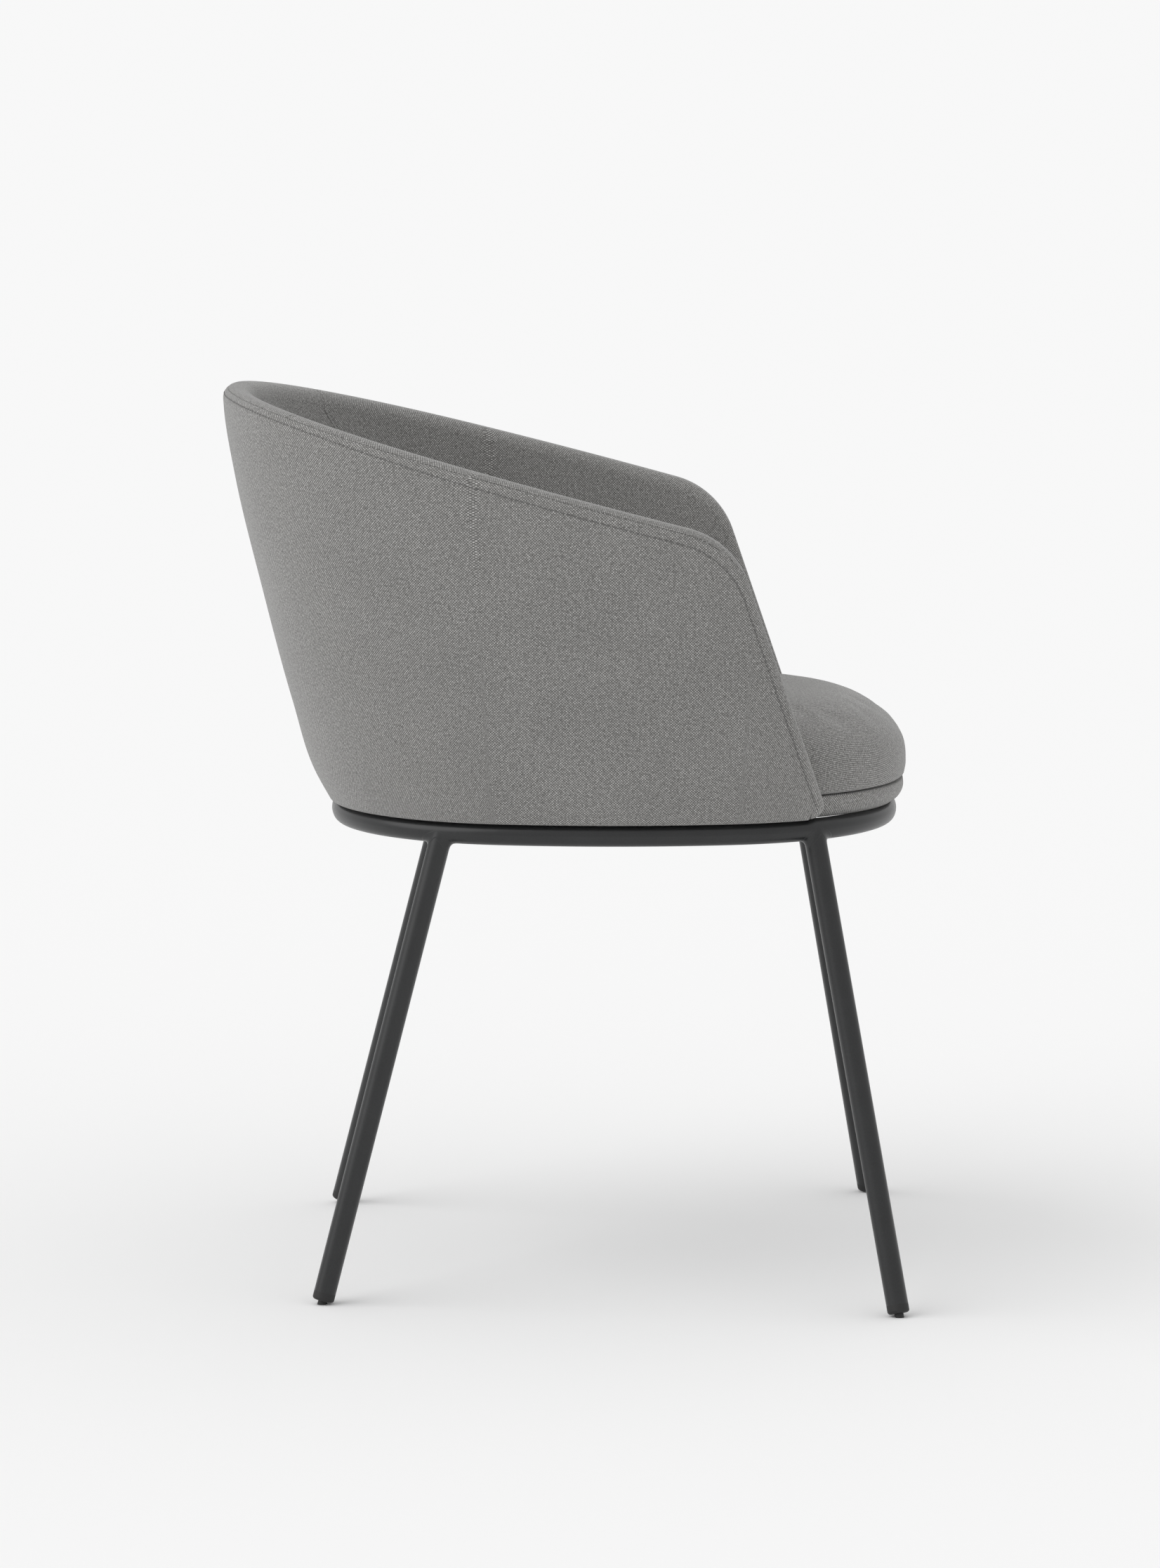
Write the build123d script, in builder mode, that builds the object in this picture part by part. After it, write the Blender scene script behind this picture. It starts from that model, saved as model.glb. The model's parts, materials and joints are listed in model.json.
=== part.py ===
from build123d import *

import os
from dataclasses import dataclass
from math import atan2, degrees, hypot, radians, sin, sqrt, tan

os.makedirs("parts", exist_ok=True)

# A fabric tub chair on a welded tube frame. Millimetres, +Z up, the front faces -Y.
# The origin is on the floor, under the middle of the chair's outline.

# ---------------------------------------------------------------- driving dimensions

# Tube frame
TUBE_D = 19.0
TUBE_WALL = 2.0
RING_HEIGHT = 405.0  # floor to the ring's centreline
RING_CENTRE_Y = -41.8
RING_HALF_WIDTH = 212.0
RING_HALF_LENGTH = 241.0
RING_SIDE_RADIUS = 510.0
RING_END_RADIUS = 483.0
RING_CORNER_RADIUS = 173.0
FRONT_LEG_SETBACK = 70.0  # ring's front end to the leg's top, along Y
REAR_LEG_SETBACK = 92.0
FRONT_SPLAY_X = 113.0  # how far the foot stands outside the leg's top
FRONT_SPLAY_Y = 71.0
REAR_SPLAY_X = 45.0
REAR_SPLAY_Y = 104.0
WELD_LEG = 7.0  # how far a weld spreads along the leg and the ring

# Feet
CAP_LENGTH = 7.5
CAP_ROUNDING = 2.5
CAP_SPIGOT = 16.0
CAP_FIT = 0.1
NUB_D = 8.0
NUB_STAND_OFF = 3.2  # cap's end to the floor, along the leg
NUB_STEM_D = 4.0
NUB_STEM = 5.0

# Cross rails and the bolts that hold the seat board on them
RAIL_WIDTH = 30.0
RAIL_THICKNESS = 4.0
RAIL_SETBACK = 120.0  # ring's ends to each rail's middle
BOLT_SPREAD = 220.0  # between the two bolts of one rail
BOLT_D = 6.0
BOLT_CLEARANCE = 0.5
BOLT_HEAD_D = 12.0
BOLT_HEAD = 3.4
HEX_ACROSS_FLATS = 4.0
HEX_DEPTH = 2.0
WASHER_D = 16.0
WASHER = 1.2
TEE_FLANGE_D = 19.0
TEE_FLANGE = 1.2
TEE_BARREL_D = 8.0
TEE_BARREL = 9.0

# Seat board, its padding and its fabric
FABRIC = 1.2
DUST_COVER = 0.5
BOARD = 12.0
SEAT_SIDE_OVERHANG = 0.0  # seat base outside the ring's centreline
SEAT_FRONT_OVERHANG = 15.5
SEAT_REAR_SETBACK = 3.5  # seat base inside the ring's centreline
SEAT_SIDE_RADIUS = 466.0
SEAT_END_RADIUS = 440.0
SEAT_CORNER_RADIUS = 180.0
EDGE_FOAM = 12.8
BASE_HEIGHT = 18.4
HEM = 25.0  # width of the fabric turned under the board
DUST_INSET = 2.0  # dust cover's edge inside the hem's fold
CUSHION_HEIGHT = 84.0
CUSHION_GAP = 0.6  # seam between the cushion and the seat base
STAPLE_WIRE = 0.9
STAPLE_WIDTH = 11.0
STAPLE_LEG = 5.2
STAPLE_COUNT = 18
STAPLE_INSET = 14.0  # board's edge to the staples

# Tub
TUB_GAP = 0.5  # ring's top to the tub's lower edge
CORE = 8.0
OUTER_FOAM = 3.0
LINING_START = 19.5  # the inside padding starts this far above the tub's lower edge
LAYER_GAP = 0.05
SEAT_FIT = 0.8  # room between the seat and the tub
RIM_FOAM_SETBACK = 6.0
RIM_CORE_SETBACK = 12.0
RIM_SLOPE = 14.8  # degrees the rim falls towards the front
RIM_BACK_RADIUS = 14.0
RIM_CORNER_RADIUS = 75.0
ARM_FOOT_RADIUS = 12.0
ARM_TOP_SETBACK = 142.0  # ring's front end to where the rim's line and the arm's edge would meet
ARM_TOP_HEIGHT = 251.3
ARM_FOOT_SETBACK = 56.5
TUB_SIDE_LEAN = 90.0  # tub's top outside the ring's centreline
TUB_BACK_LEAN = 104.0
TUB_TOP_SIDE_RADIUS = 520.0
TUB_TOP_END_RADIUS = 420.0
TUB_TOP_CORNER_RADIUS = 285.0
TUB_FOOT_PROUD = 1.5  # tub's foot outside the ring's outer side
SEAM_X = 172.0  # upright seams of the inside, from the middle

# Blocks and screws that join the shell core to the seat board's edge
BLOCK_WIDTH = 40.0
BLOCK_FIT = 0.3
SCREW_D = 4.0
SCREW_HEAD_D = 8.0
SCREW_HEAD = 2.0
SCREW_SINK = 0.6
SCREW_SPREAD = 20.0
SCREW_BITE = 14.0  # how far a screw enters the board

# The tub's wall: height above its foot, how far its back and its sides have leaned out
# there as a share of the way to the top's outline, and its thickness.
WALL_LEVELS = (
    (0.0, 0.0, 0.0, 15.4),
    (25.0, 0.148, 0.17, 19.0),
    (85.0, 0.352, 0.435, 29.0),
    (185.0, 0.635, 0.78, 30.0),
    (285.0, 0.888, 0.98, 30.0),
    (345.0, 0.99, 1.0, 28.0),
    (385.0, 1.0, 1.0, 28.0),
)

# The seat base and the cushion: height above their own foot as a share of their height,
# and how far the outline there is inside their widest outline.
BASE_LEVELS = ((0.0, 9.0), (0.22, 3.5), (0.58, 0.0), (1.0, 0.5))
CUSHION_LEVELS = (
    (0.0, 4.6),
    (0.22, 0.0),
    (0.37, 2.0),
    (0.60, 14.6),
    (0.80, 39.7),
    (0.92, 64.7),
    (1.0, 105.0),
)
CUSHION_PROUD = 4.6  # cushion's widest outline outside the seat base

# ---------------------------------------------------------------- derived sizes

TUBE_R = TUBE_D / 2
RING_TOP = RING_HEIGHT + TUBE_R
RAIL_TOP = RING_TOP
RAIL_BOTTOM = RAIL_TOP - RAIL_THICKNESS
HEM_BOTTOM = RING_TOP + DUST_COVER
BOARD_BOTTOM = HEM_BOTTOM + FABRIC
BOARD_TOP = BOARD_BOTTOM + BOARD
BASE_TOP = HEM_BOTTOM + BASE_HEIGHT
CUSHION_BOTTOM = BASE_TOP + CUSHION_GAP
TUB_BOTTOM = RING_TOP + TUB_GAP
ARM_TOP_Y = RING_CENTRE_Y - RING_HALF_LENGTH + ARM_TOP_SETBACK
ARM_FOOT_Y = RING_CENTRE_Y - RING_HALF_LENGTH + ARM_FOOT_SETBACK
FAR = 1000.0  # further than any piece reaches
OUTER_FOAM_FACE = FABRIC + LAYER_GAP
CORE_OUTER_FACE = OUTER_FOAM_FACE + OUTER_FOAM + LAYER_GAP
CORE_INNER_FACE = CORE_OUTER_FACE + CORE
INNER_FOAM_FACE = CORE_INNER_FACE + LAYER_GAP


# ---------------------------------------------------------------- outlines


@dataclass(frozen=True)
class Oval:
    """A level outline of side, end and corner arcs that run smoothly into each other."""

    centre_y: float
    half_width: float
    half_length: float
    side_radius: float
    end_radius: float
    corner_radius: float

    def inset(self, distance: float) -> "Oval":
        """The parallel outline this far inside, or outside where it is negative."""
        return Oval(
            self.centre_y,
            self.half_width - distance,
            self.half_length - distance,
            self.side_radius - distance,
            self.end_radius - distance,
            self.corner_radius - distance,
        )

    def corner(self) -> tuple[float, float]:
        """The centre of the corner arc, from the outline's own centre."""
        side_x = self.half_width - self.side_radius
        end_y = self.half_length - self.end_radius
        from_side = self.side_radius - self.corner_radius
        from_end = self.end_radius - self.corner_radius
        apart = hypot(side_x, end_y)
        along = (from_side**2 - from_end**2 + apart**2) / (2 * apart)
        across = sqrt(from_side**2 - along**2)
        unit_x = -side_x / apart
        unit_y = end_y / apart
        x = side_x + along * unit_x - across * unit_y
        y = along * unit_y + across * unit_x
        return x, y

    def angles(self) -> tuple[float, float]:
        """Where the corner arc meets the side arc and the end arc, in degrees."""
        x, y = self.corner()
        side_angle = atan2(y, x - (self.half_width - self.side_radius))
        end_angle = atan2(y - (self.half_length - self.end_radius), x)
        return degrees(side_angle), degrees(end_angle)

    def arcs(self) -> list[tuple[float, float, float, float, float]]:
        """Each arc's centre, radius, start angle and sweep, anticlockwise."""
        x, y = self.corner()
        side, end = self.angles()
        side_x = self.half_width - self.side_radius
        end_y = self.half_length - self.end_radius
        turn = end - side
        return [
            (side_x, 0, self.side_radius, -side, 2 * side),
            (x, y, self.corner_radius, side, turn),
            (0, end_y, self.end_radius, end, 180 - 2 * end),
            (-x, y, self.corner_radius, 180 - end, turn),
            (-side_x, 0, self.side_radius, 180 - side, 2 * side),
            (-x, -y, self.corner_radius, 180 + side, turn),
            (0, -end_y, self.end_radius, 180 + end, 180 - 2 * end),
            (x, -y, self.corner_radius, -end, turn),
        ]

    def half_width_at(self, y: float) -> float:
        """Half the outline's width at a place along Y."""
        offset = abs(y - self.centre_y)
        corner_x, corner_y = self.corner()
        side, end = self.angles()
        if offset <= self.side_radius * sin(radians(side)):
            return self.half_width - self.side_radius + sqrt(self.side_radius**2 - offset**2)
        if offset <= corner_y + self.corner_radius * sin(radians(end)):
            return corner_x + sqrt(self.corner_radius**2 - (offset - corner_y) ** 2)
        return sqrt(self.end_radius**2 - (offset - self.half_length + self.end_radius) ** 2)


def outline(oval: Oval, height: float) -> Sketch:
    """A filled level outline at a height."""
    with BuildSketch(Plane((0, oval.centre_y, height))) as level:
        with BuildLine():
            for x, y, radius, start, sweep in oval.arcs():
                CenterArc((x, y), radius, start, sweep)
        make_face()
    return level.sketch


RING = Oval(
    RING_CENTRE_Y,
    RING_HALF_WIDTH,
    RING_HALF_LENGTH,
    RING_SIDE_RADIUS,
    RING_END_RADIUS,
    RING_CORNER_RADIUS,
)
TUB_FOOT = RING.inset(-TUBE_R - TUB_FOOT_PROUD)
TUB_TOP = Oval(
    RING_CENTRE_Y,
    RING_HALF_WIDTH + TUB_SIDE_LEAN,
    RING_HALF_LENGTH + TUB_BACK_LEAN,
    TUB_TOP_SIDE_RADIUS,
    TUB_TOP_END_RADIUS,
    TUB_TOP_CORNER_RADIUS,
)
SEAT = Oval(
    RING_CENTRE_Y - (SEAT_FRONT_OVERHANG + SEAT_REAR_SETBACK) / 2,
    RING_HALF_WIDTH + SEAT_SIDE_OVERHANG,
    RING_HALF_LENGTH + (SEAT_FRONT_OVERHANG - SEAT_REAR_SETBACK) / 2,
    SEAT_SIDE_RADIUS,
    SEAT_END_RADIUS,
    SEAT_CORNER_RADIUS,
)


def between(low: float, high: float, share: float) -> float:
    """The value this share of the way from low to high."""
    return low + (high - low) * share


def wall_oval(back_lean: float, side_lean: float) -> Oval:
    """The tub's outer outline where its back and sides have leaned out by these shares."""
    return Oval(
        TUB_FOOT.centre_y,
        between(TUB_FOOT.half_width, TUB_TOP.half_width, side_lean),
        between(TUB_FOOT.half_length, TUB_TOP.half_length, back_lean),
        between(TUB_FOOT.side_radius, TUB_TOP.side_radius, back_lean),
        between(TUB_FOOT.end_radius, TUB_TOP.end_radius, back_lean),
        between(TUB_FOOT.corner_radius, TUB_TOP.corner_radius, back_lean),
    )


def wall_sections(inset: float) -> list[Sketch]:
    """Level outlines of the tub's wall at a distance inside its outer face."""
    return [
        outline(wall_oval(back, side).inset(inset), TUB_BOTTOM + height)
        for height, back, side, _ in WALL_LEVELS
    ]


def lining_sections(above: float) -> list[Sketch]:
    """Level outlines of the tub's inside face, or of a face this far behind it."""
    return [
        outline(wall_oval(back, side).inset(thickness - above), TUB_BOTTOM + height)
        for height, back, side, thickness in WALL_LEVELS
    ]


def seat_sections(inset: float, trim: float) -> list[Sketch]:
    """Level outlines of the seat base, with its top and foot trimmed by a thickness."""
    low = HEM_BOTTOM + trim
    high = BASE_TOP - trim
    return [outline(SEAT.inset(step + inset), between(low, high, share)) for share, step in BASE_LEVELS]


def cushion_sections(inset: float) -> list[Sketch]:
    """Level outlines of the cushion at a distance inside its outer face."""
    low = CUSHION_BOTTOM + inset
    high = CUSHION_BOTTOM + CUSHION_HEIGHT - inset
    widest = SEAT.inset(inset - CUSHION_PROUD)
    return [outline(widest.inset(step), between(low, high, share)) for share, step in CUSHION_LEVELS]


def side_profile(setback: float, foot: float) -> Sketch:
    """The tub seen from the side, with its rim and arm edges moved in by a setback."""
    rim_rate = tan(radians(RIM_SLOPE))
    arm_rate = (ARM_TOP_Y - ARM_FOOT_Y) / ARM_TOP_HEIGHT
    drop = setback * hypot(1, rim_rate)
    shift = setback * hypot(1, arm_rate)
    back_y = TUB_TOP.centre_y + TUB_TOP.half_length
    arm_top_z = TUB_BOTTOM + ARM_TOP_HEIGHT
    top_y = ARM_TOP_Y + (shift - drop * arm_rate) / (1 - arm_rate * rim_rate)
    top_z = arm_top_z + (top_y - ARM_TOP_Y) * rim_rate - drop
    foot_y = ARM_FOOT_Y + shift - (TUB_BOTTOM - foot) * arm_rate
    back_z = arm_top_z + (back_y - ARM_TOP_Y) * rim_rate - drop
    with BuildSketch(Plane.YZ) as profile:
        with BuildLine():
            FilletPolyline(
                (back_y, foot),
                (foot_y, foot),
                (top_y, top_z),
                (back_y, back_z),
                (back_y, between(foot, back_z, 0.5)),
                radius=[ARM_FOOT_RADIUS, RIM_CORNER_RADIUS - setback, RIM_BACK_RADIUS],
            )
            Line((back_y, between(foot, back_z, 0.5)), (back_y, foot))
        make_face()
    return profile.sketch


# ---------------------------------------------------------------- ring


with BuildLine(Plane((0, RING.centre_y, RING_HEIGHT))) as ring_line:
    for arc_x, arc_y, arc_radius, arc_start, arc_sweep in RING.arcs():
        CenterArc((arc_x, arc_y), arc_radius, arc_start, arc_sweep)
RING_PATH = ring_line.wire()


def ring_tube(radius: float) -> Part:
    """A solid rod of this radius bent round the ring's centreline."""
    with BuildPart() as rod:
        with BuildSketch(Plane(RING_PATH @ 0, z_dir=RING_PATH % 0)) as section:
            Circle(radius)
        sweep(sections=section.sketch, path=RING_PATH)
    return rod.part


RING_ROD = ring_tube(TUBE_R)

with BuildPart() as ring_frame:
    add(RING_ROD)
    add(ring_tube(TUBE_R - TUBE_WALL), mode=Mode.SUBTRACT)
ring_frame.part.label = "ring_frame"
export_step(ring_frame.part, "parts/ring_frame.step")


# ---------------------------------------------------------------- legs, welds and feet


def leg_plane(side: int, front: bool) -> tuple[Plane, float]:
    """A plane on the floor under a leg, square to it, and the leg's length."""
    end = -1 if front else 1
    setback = FRONT_LEG_SETBACK if front else REAR_LEG_SETBACK
    splay_x = FRONT_SPLAY_X if front else REAR_SPLAY_X
    splay_y = FRONT_SPLAY_Y if front else REAR_SPLAY_Y
    top_y = RING.centre_y + end * (RING.half_length - setback)
    top = Vector(side * RING.half_width_at(top_y), top_y, RING_HEIGHT)
    foot = Vector(top.X + side * splay_x, top.Y + end * splay_y, 0)
    axis = top - foot
    return Plane(origin=foot, z_dir=axis), axis.length


CORNERS = {
    "front_left": (-1, True),
    "front_right": (1, True),
    "rear_left": (-1, False),
    "rear_right": (1, False),
}
TUBE_START = NUB_STAND_OFF + CAP_LENGTH  # floor to the tube's cut end, along the leg
WELD_RODS = ring_tube(TUBE_R + WELD_LEG / 2)
weld_solids = []
nub_solids = []

for corner_name, (corner_side, corner_is_front) in CORNERS.items():
    foot_plane, leg_length = leg_plane(corner_side, corner_is_front)

    with BuildPart() as leg:
        with BuildSketch(foot_plane.offset(TUBE_START)):
            Circle(TUBE_R)
            Circle(TUBE_R - TUBE_WALL, mode=Mode.SUBTRACT)
        extrude(amount=leg_length - TUBE_START)
        add(RING_ROD, mode=Mode.SUBTRACT)
    leg.part.label = "leg_" + corner_name
    export_step(leg.part, "parts/leg_" + corner_name + ".step")

    with BuildPart() as weld:
        with BuildSketch(foot_plane.offset(leg_length)):
            Circle(TUBE_R + WELD_LEG)
        with BuildSketch(foot_plane.offset(leg_length - TUBE_R - 2 * WELD_LEG)):
            Circle(TUBE_R)
        loft()
        add(WELD_RODS, mode=Mode.INTERSECT)
        with BuildSketch(foot_plane):
            Circle(TUBE_R)
        extrude(amount=leg_length, mode=Mode.SUBTRACT)
        add(RING_ROD, mode=Mode.SUBTRACT)
    weld_solids += weld.part.solids()

    with BuildPart() as foot_cap:
        with BuildSketch(foot_plane.offset(NUB_STAND_OFF)):
            Circle(TUBE_R)
        extrude(amount=CAP_LENGTH)
        fillet(foot_cap.edges().filter_by(GeomType.CIRCLE).sort_by(Axis.Z)[0], radius=CAP_ROUNDING)
        with BuildSketch(foot_plane.offset(TUBE_START)):
            Circle(TUBE_R - TUBE_WALL - CAP_FIT)
        extrude(amount=CAP_SPIGOT)
        with BuildSketch(foot_plane.offset(NUB_STAND_OFF)):
            Circle(NUB_STEM_D / 2)
        extrude(amount=NUB_STEM, mode=Mode.SUBTRACT)
    foot_cap.part.label = "foot_cap_" + corner_name
    export_step(foot_cap.part, "parts/foot_cap_" + corner_name + ".step")

    with BuildPart() as nub:
        with BuildSketch(foot_plane.offset(-NUB_D)):
            Circle(NUB_D / 2)
        extrude(amount=NUB_D + NUB_STAND_OFF)
        with BuildSketch(foot_plane.offset(NUB_STAND_OFF)):
            Circle(NUB_STEM_D / 2)
        extrude(amount=NUB_STEM)
        split(bisect_by=Plane.XY, keep=Keep.TOP)
    nub_solids += nub.part.solids()

with BuildPart() as weld_beads:
    add(weld_solids)
weld_beads.part.label = "weld_beads"
export_step(weld_beads.part, "parts/weld_beads.step")

with BuildPart() as glide_pads:
    add(nub_solids)
glide_pads.part.label = "glide_pads"
export_step(glide_pads.part, "parts/glide_pads.step")


# ---------------------------------------------------------------- cross rails and their bolts

RAIL_PLACES = {
    "front": RING.centre_y - RING.half_length + RAIL_SETBACK,
    "rear": RING.centre_y + RING.half_length - RAIL_SETBACK,
}
BOLT_PLACES = [(side * BOLT_SPREAD / 2, rail_y) for rail_y in RAIL_PLACES.values() for side in (-1, 1)]
HEAD_TOP = RAIL_BOTTOM - WASHER

for rail_name, rail_y in RAIL_PLACES.items():
    with BuildPart() as cross_rail:
        with BuildSketch(Plane.XY.offset(RAIL_BOTTOM)):
            with Locations((0, rail_y)):
                Rectangle(2 * RING.half_width, RAIL_WIDTH)
            with Locations(*BOLT_PLACES):
                Circle((BOLT_D + BOLT_CLEARANCE) / 2, mode=Mode.SUBTRACT)
        extrude(amount=RAIL_THICKNESS)
        extrude(outline(RING.inset(TUBE_R / 2), RAIL_BOTTOM), amount=RAIL_THICKNESS, mode=Mode.INTERSECT)
        add(RING_ROD, mode=Mode.SUBTRACT)
    cross_rail.part.label = "cross_rail_" + rail_name
    export_step(cross_rail.part, "parts/cross_rail_" + rail_name + ".step")

with BuildPart() as rail_bolts:
    with BuildSketch(Plane.XY.offset(HEAD_TOP - BOLT_HEAD)):
        with Locations(*BOLT_PLACES):
            Circle(BOLT_HEAD_D / 2)
            RegularPolygon(HEX_ACROSS_FLATS / 2, 6, major_radius=False, mode=Mode.SUBTRACT)
    extrude(amount=HEX_DEPTH)
    with BuildSketch(Plane.XY.offset(HEAD_TOP - BOLT_HEAD + HEX_DEPTH)):
        with Locations(*BOLT_PLACES):
            Circle(BOLT_HEAD_D / 2)
    extrude(amount=BOLT_HEAD - HEX_DEPTH)
    with BuildSketch(Plane.XY.offset(HEAD_TOP)):
        with Locations(*BOLT_PLACES):
            Circle(BOLT_D / 2)
    extrude(amount=BOARD_TOP - HEAD_TOP)
rail_bolts.part.label = "rail_bolts"
export_step(rail_bolts.part, "parts/rail_bolts.step")

with BuildPart() as rail_washers:
    with BuildSketch(Plane.XY.offset(HEAD_TOP)):
        with Locations(*BOLT_PLACES):
            Circle(WASHER_D / 2)
            Circle((BOLT_D + BOLT_CLEARANCE) / 2, mode=Mode.SUBTRACT)
    extrude(amount=WASHER)
rail_washers.part.label = "rail_washers"
export_step(rail_washers.part, "parts/rail_washers.step")

with BuildPart() as tee_nuts:
    with BuildSketch(Plane.XY.offset(BOARD_TOP - TEE_BARREL)):
        with Locations(*BOLT_PLACES):
            Circle(TEE_BARREL_D / 2)
    extrude(amount=TEE_BARREL)
    with BuildSketch(Plane.XY.offset(BOARD_TOP)):
        with Locations(*BOLT_PLACES):
            Circle(TEE_FLANGE_D / 2)
    extrude(amount=TEE_FLANGE)
    with BuildSketch(Plane.XY.offset(BOARD_TOP - TEE_BARREL)):
        with Locations(*BOLT_PLACES):
            Circle(BOLT_D / 2)
    extrude(amount=TEE_BARREL + TEE_FLANGE, mode=Mode.SUBTRACT)
tee_nuts.part.label = "tee_nuts"
export_step(tee_nuts.part, "parts/tee_nuts.step")


# ---------------------------------------------------------------- tub


with BuildPart() as seat_space:
    loft(sections=seat_sections(-SEAT_FIT, -SEAT_FIT))
    loft(sections=cushion_sections(-SEAT_FIT))


def tub_layer(outer: list[Sketch], inner: list[Sketch], setback: float, foot: float) -> Part:
    """The part of the tub's wall between two faces, trimmed at its rim, arms and foot."""
    with BuildPart() as layer:
        loft(sections=outer)
        loft(sections=inner, mode=Mode.SUBTRACT)
        extrude(side_profile(setback, foot), amount=FAR, both=True, mode=Mode.INTERSECT)
        add(seat_space.part, mode=Mode.SUBTRACT)
    return layer.part


with BuildPart() as outer_cover:
    loft(sections=wall_sections(0))
    loft(sections=wall_sections(FABRIC), mode=Mode.SUBTRACT)
    extrude(outline(TUB_FOOT, TUB_BOTTOM), amount=FABRIC)
    extrude(outline(TUB_FOOT.inset(CORE_INNER_FACE), TUB_BOTTOM), amount=FABRIC, mode=Mode.SUBTRACT)
    extrude(side_profile(0, TUB_BOTTOM), amount=FAR, both=True, mode=Mode.INTERSECT)
    add(seat_space.part, mode=Mode.SUBTRACT)
outer_cover.part.label = "outer_cover"
export_step(outer_cover.part, "parts/outer_cover.step")

FOLD_FOOT = TUB_BOTTOM + FABRIC + LAYER_GAP  # underside of the fold at each arm's foot
CORE_FOOT = FOLD_FOOT + FABRIC + LAYER_GAP
LINING_FOOT = TUB_BOTTOM + LINING_START

with BuildPart() as outer_padding:
    add(
        tub_layer(
            wall_sections(OUTER_FOAM_FACE),
            wall_sections(OUTER_FOAM_FACE + OUTER_FOAM),
            RIM_FOAM_SETBACK,
            CORE_FOOT,
        )
    )

with BuildPart() as inner_foam:
    add(
        tub_layer(
            wall_sections(INNER_FOAM_FACE),
            lining_sections(FABRIC + LAYER_GAP),
            RIM_FOAM_SETBACK,
            LINING_FOOT + FABRIC + LAYER_GAP,
        )
    )
inner_foam.part.label = "inner_foam"
export_step(inner_foam.part, "parts/inner_foam.step")

with BuildPart() as lining_filling:
    loft(sections=wall_sections(0))
    loft(sections=lining_sections(FABRIC), mode=Mode.SUBTRACT)
    with BuildSketch(Plane.XY.offset(TUB_BOTTOM)):
        Rectangle(FAR, FAR)
    extrude(amount=LINING_START)
    extrude(side_profile(FABRIC, FOLD_FOOT + FABRIC), amount=FAR, both=True, mode=Mode.INTERSECT)
    with BuildSketch(Plane.XY.offset(TUB_BOTTOM)):
        with Locations((0, ARM_FOOT_Y + 2 * ARM_FOOT_RADIUS)):
            Rectangle(FAR, FAR, align=(Align.CENTER, Align.MIN))
    extrude(amount=LINING_START)

with BuildPart() as lining:
    add(tub_layer(wall_sections(OUTER_FOAM_FACE), lining_sections(0), 0, FOLD_FOOT))
    add(lining_filling.part, mode=Mode.SUBTRACT)

# The lining is cut from three panels that meet at two upright seams.
SEAM_PLANES = {"left": Plane.YZ.offset(-SEAM_X), "right": Plane.YZ.offset(SEAM_X)}

with BuildPart() as inner_cover_centre:
    add(lining.part)
    split(bisect_by=SEAM_PLANES["left"], keep=Keep.TOP)
    split(bisect_by=SEAM_PLANES["right"], keep=Keep.BOTTOM)
inner_cover_centre.part.label = "inner_cover_centre"
export_step(inner_cover_centre.part, "parts/inner_cover_centre.step")

for side_name, kept in {"left": Keep.BOTTOM, "right": Keep.TOP}.items():
    with BuildPart() as inner_cover_side:
        add(lining.part)
        split(bisect_by=SEAM_PLANES[side_name], keep=kept)
    inner_cover_side.part.label = "inner_cover_" + side_name
    export_step(inner_cover_side.part, "parts/inner_cover_" + side_name + ".step")


# ---------------------------------------------------------------- seat board and shell core

with BuildPart() as board_blank:
    extrude(outline(SEAT.inset(FABRIC + EDGE_FOAM), BOARD_BOTTOM), amount=BOARD)
    add(tee_nuts.part, mode=Mode.SUBTRACT)
    with BuildSketch(Plane.XY.offset(BOARD_BOTTOM)):
        with Locations(*BOLT_PLACES):
            Circle((BOLT_D + BOLT_CLEARANCE) / 2)
    extrude(amount=BOARD, mode=Mode.SUBTRACT)

with BuildPart() as core_blank:
    add(
        tub_layer(
            wall_sections(CORE_OUTER_FACE),
            wall_sections(CORE_INNER_FACE),
            RIM_CORE_SETBACK,
            CORE_FOOT,
        )
    )


def wall_at(height: float) -> Oval:
    """The tub's outer outline at a height above its foot, leaning evenly between levels."""
    for low, high in zip(WALL_LEVELS, WALL_LEVELS[1:]):
        if low[0] <= height <= high[0]:
            share = (height - low[0]) / (high[0] - low[0])
            return wall_oval(between(low[1], high[1], share), between(low[2], high[2], share))
    raise ValueError("height is outside the wall")


SCREW_HEIGHT = BOARD_BOTTOM + BOARD / 2
CORE_RING = wall_at(SCREW_HEIGHT - TUB_BOTTOM).inset(CORE_OUTER_FACE + SCREW_SINK)
BOARD_EDGE = SEAT.inset(FABRIC + EDGE_FOAM)
# Each joint's outward direction, the core's outer face and the board's edge along it.
CORE_JOINTS = {
    "left": (Vector(-1, 0, 0), CORE_RING.half_width, BOARD_EDGE.half_width),
    "right": (Vector(1, 0, 0), CORE_RING.half_width, BOARD_EDGE.half_width),
    "rear": (
        Vector(0, 1, 0),
        CORE_RING.centre_y + CORE_RING.half_length - SEAT.centre_y,
        BOARD_EDGE.half_length,
    ),
}
spacer_solids = {}
screw_solids = []


def joint_plane(outward: Vector, reach: float) -> Plane:
    """A plane this far out from the seat's middle, facing back towards it."""
    return Plane(
        origin=Vector(0, SEAT.centre_y, SCREW_HEIGHT) + outward * reach,
        x_dir=Vector(outward.Y, outward.X, 0),
        z_dir=outward * -1,
    )


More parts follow.
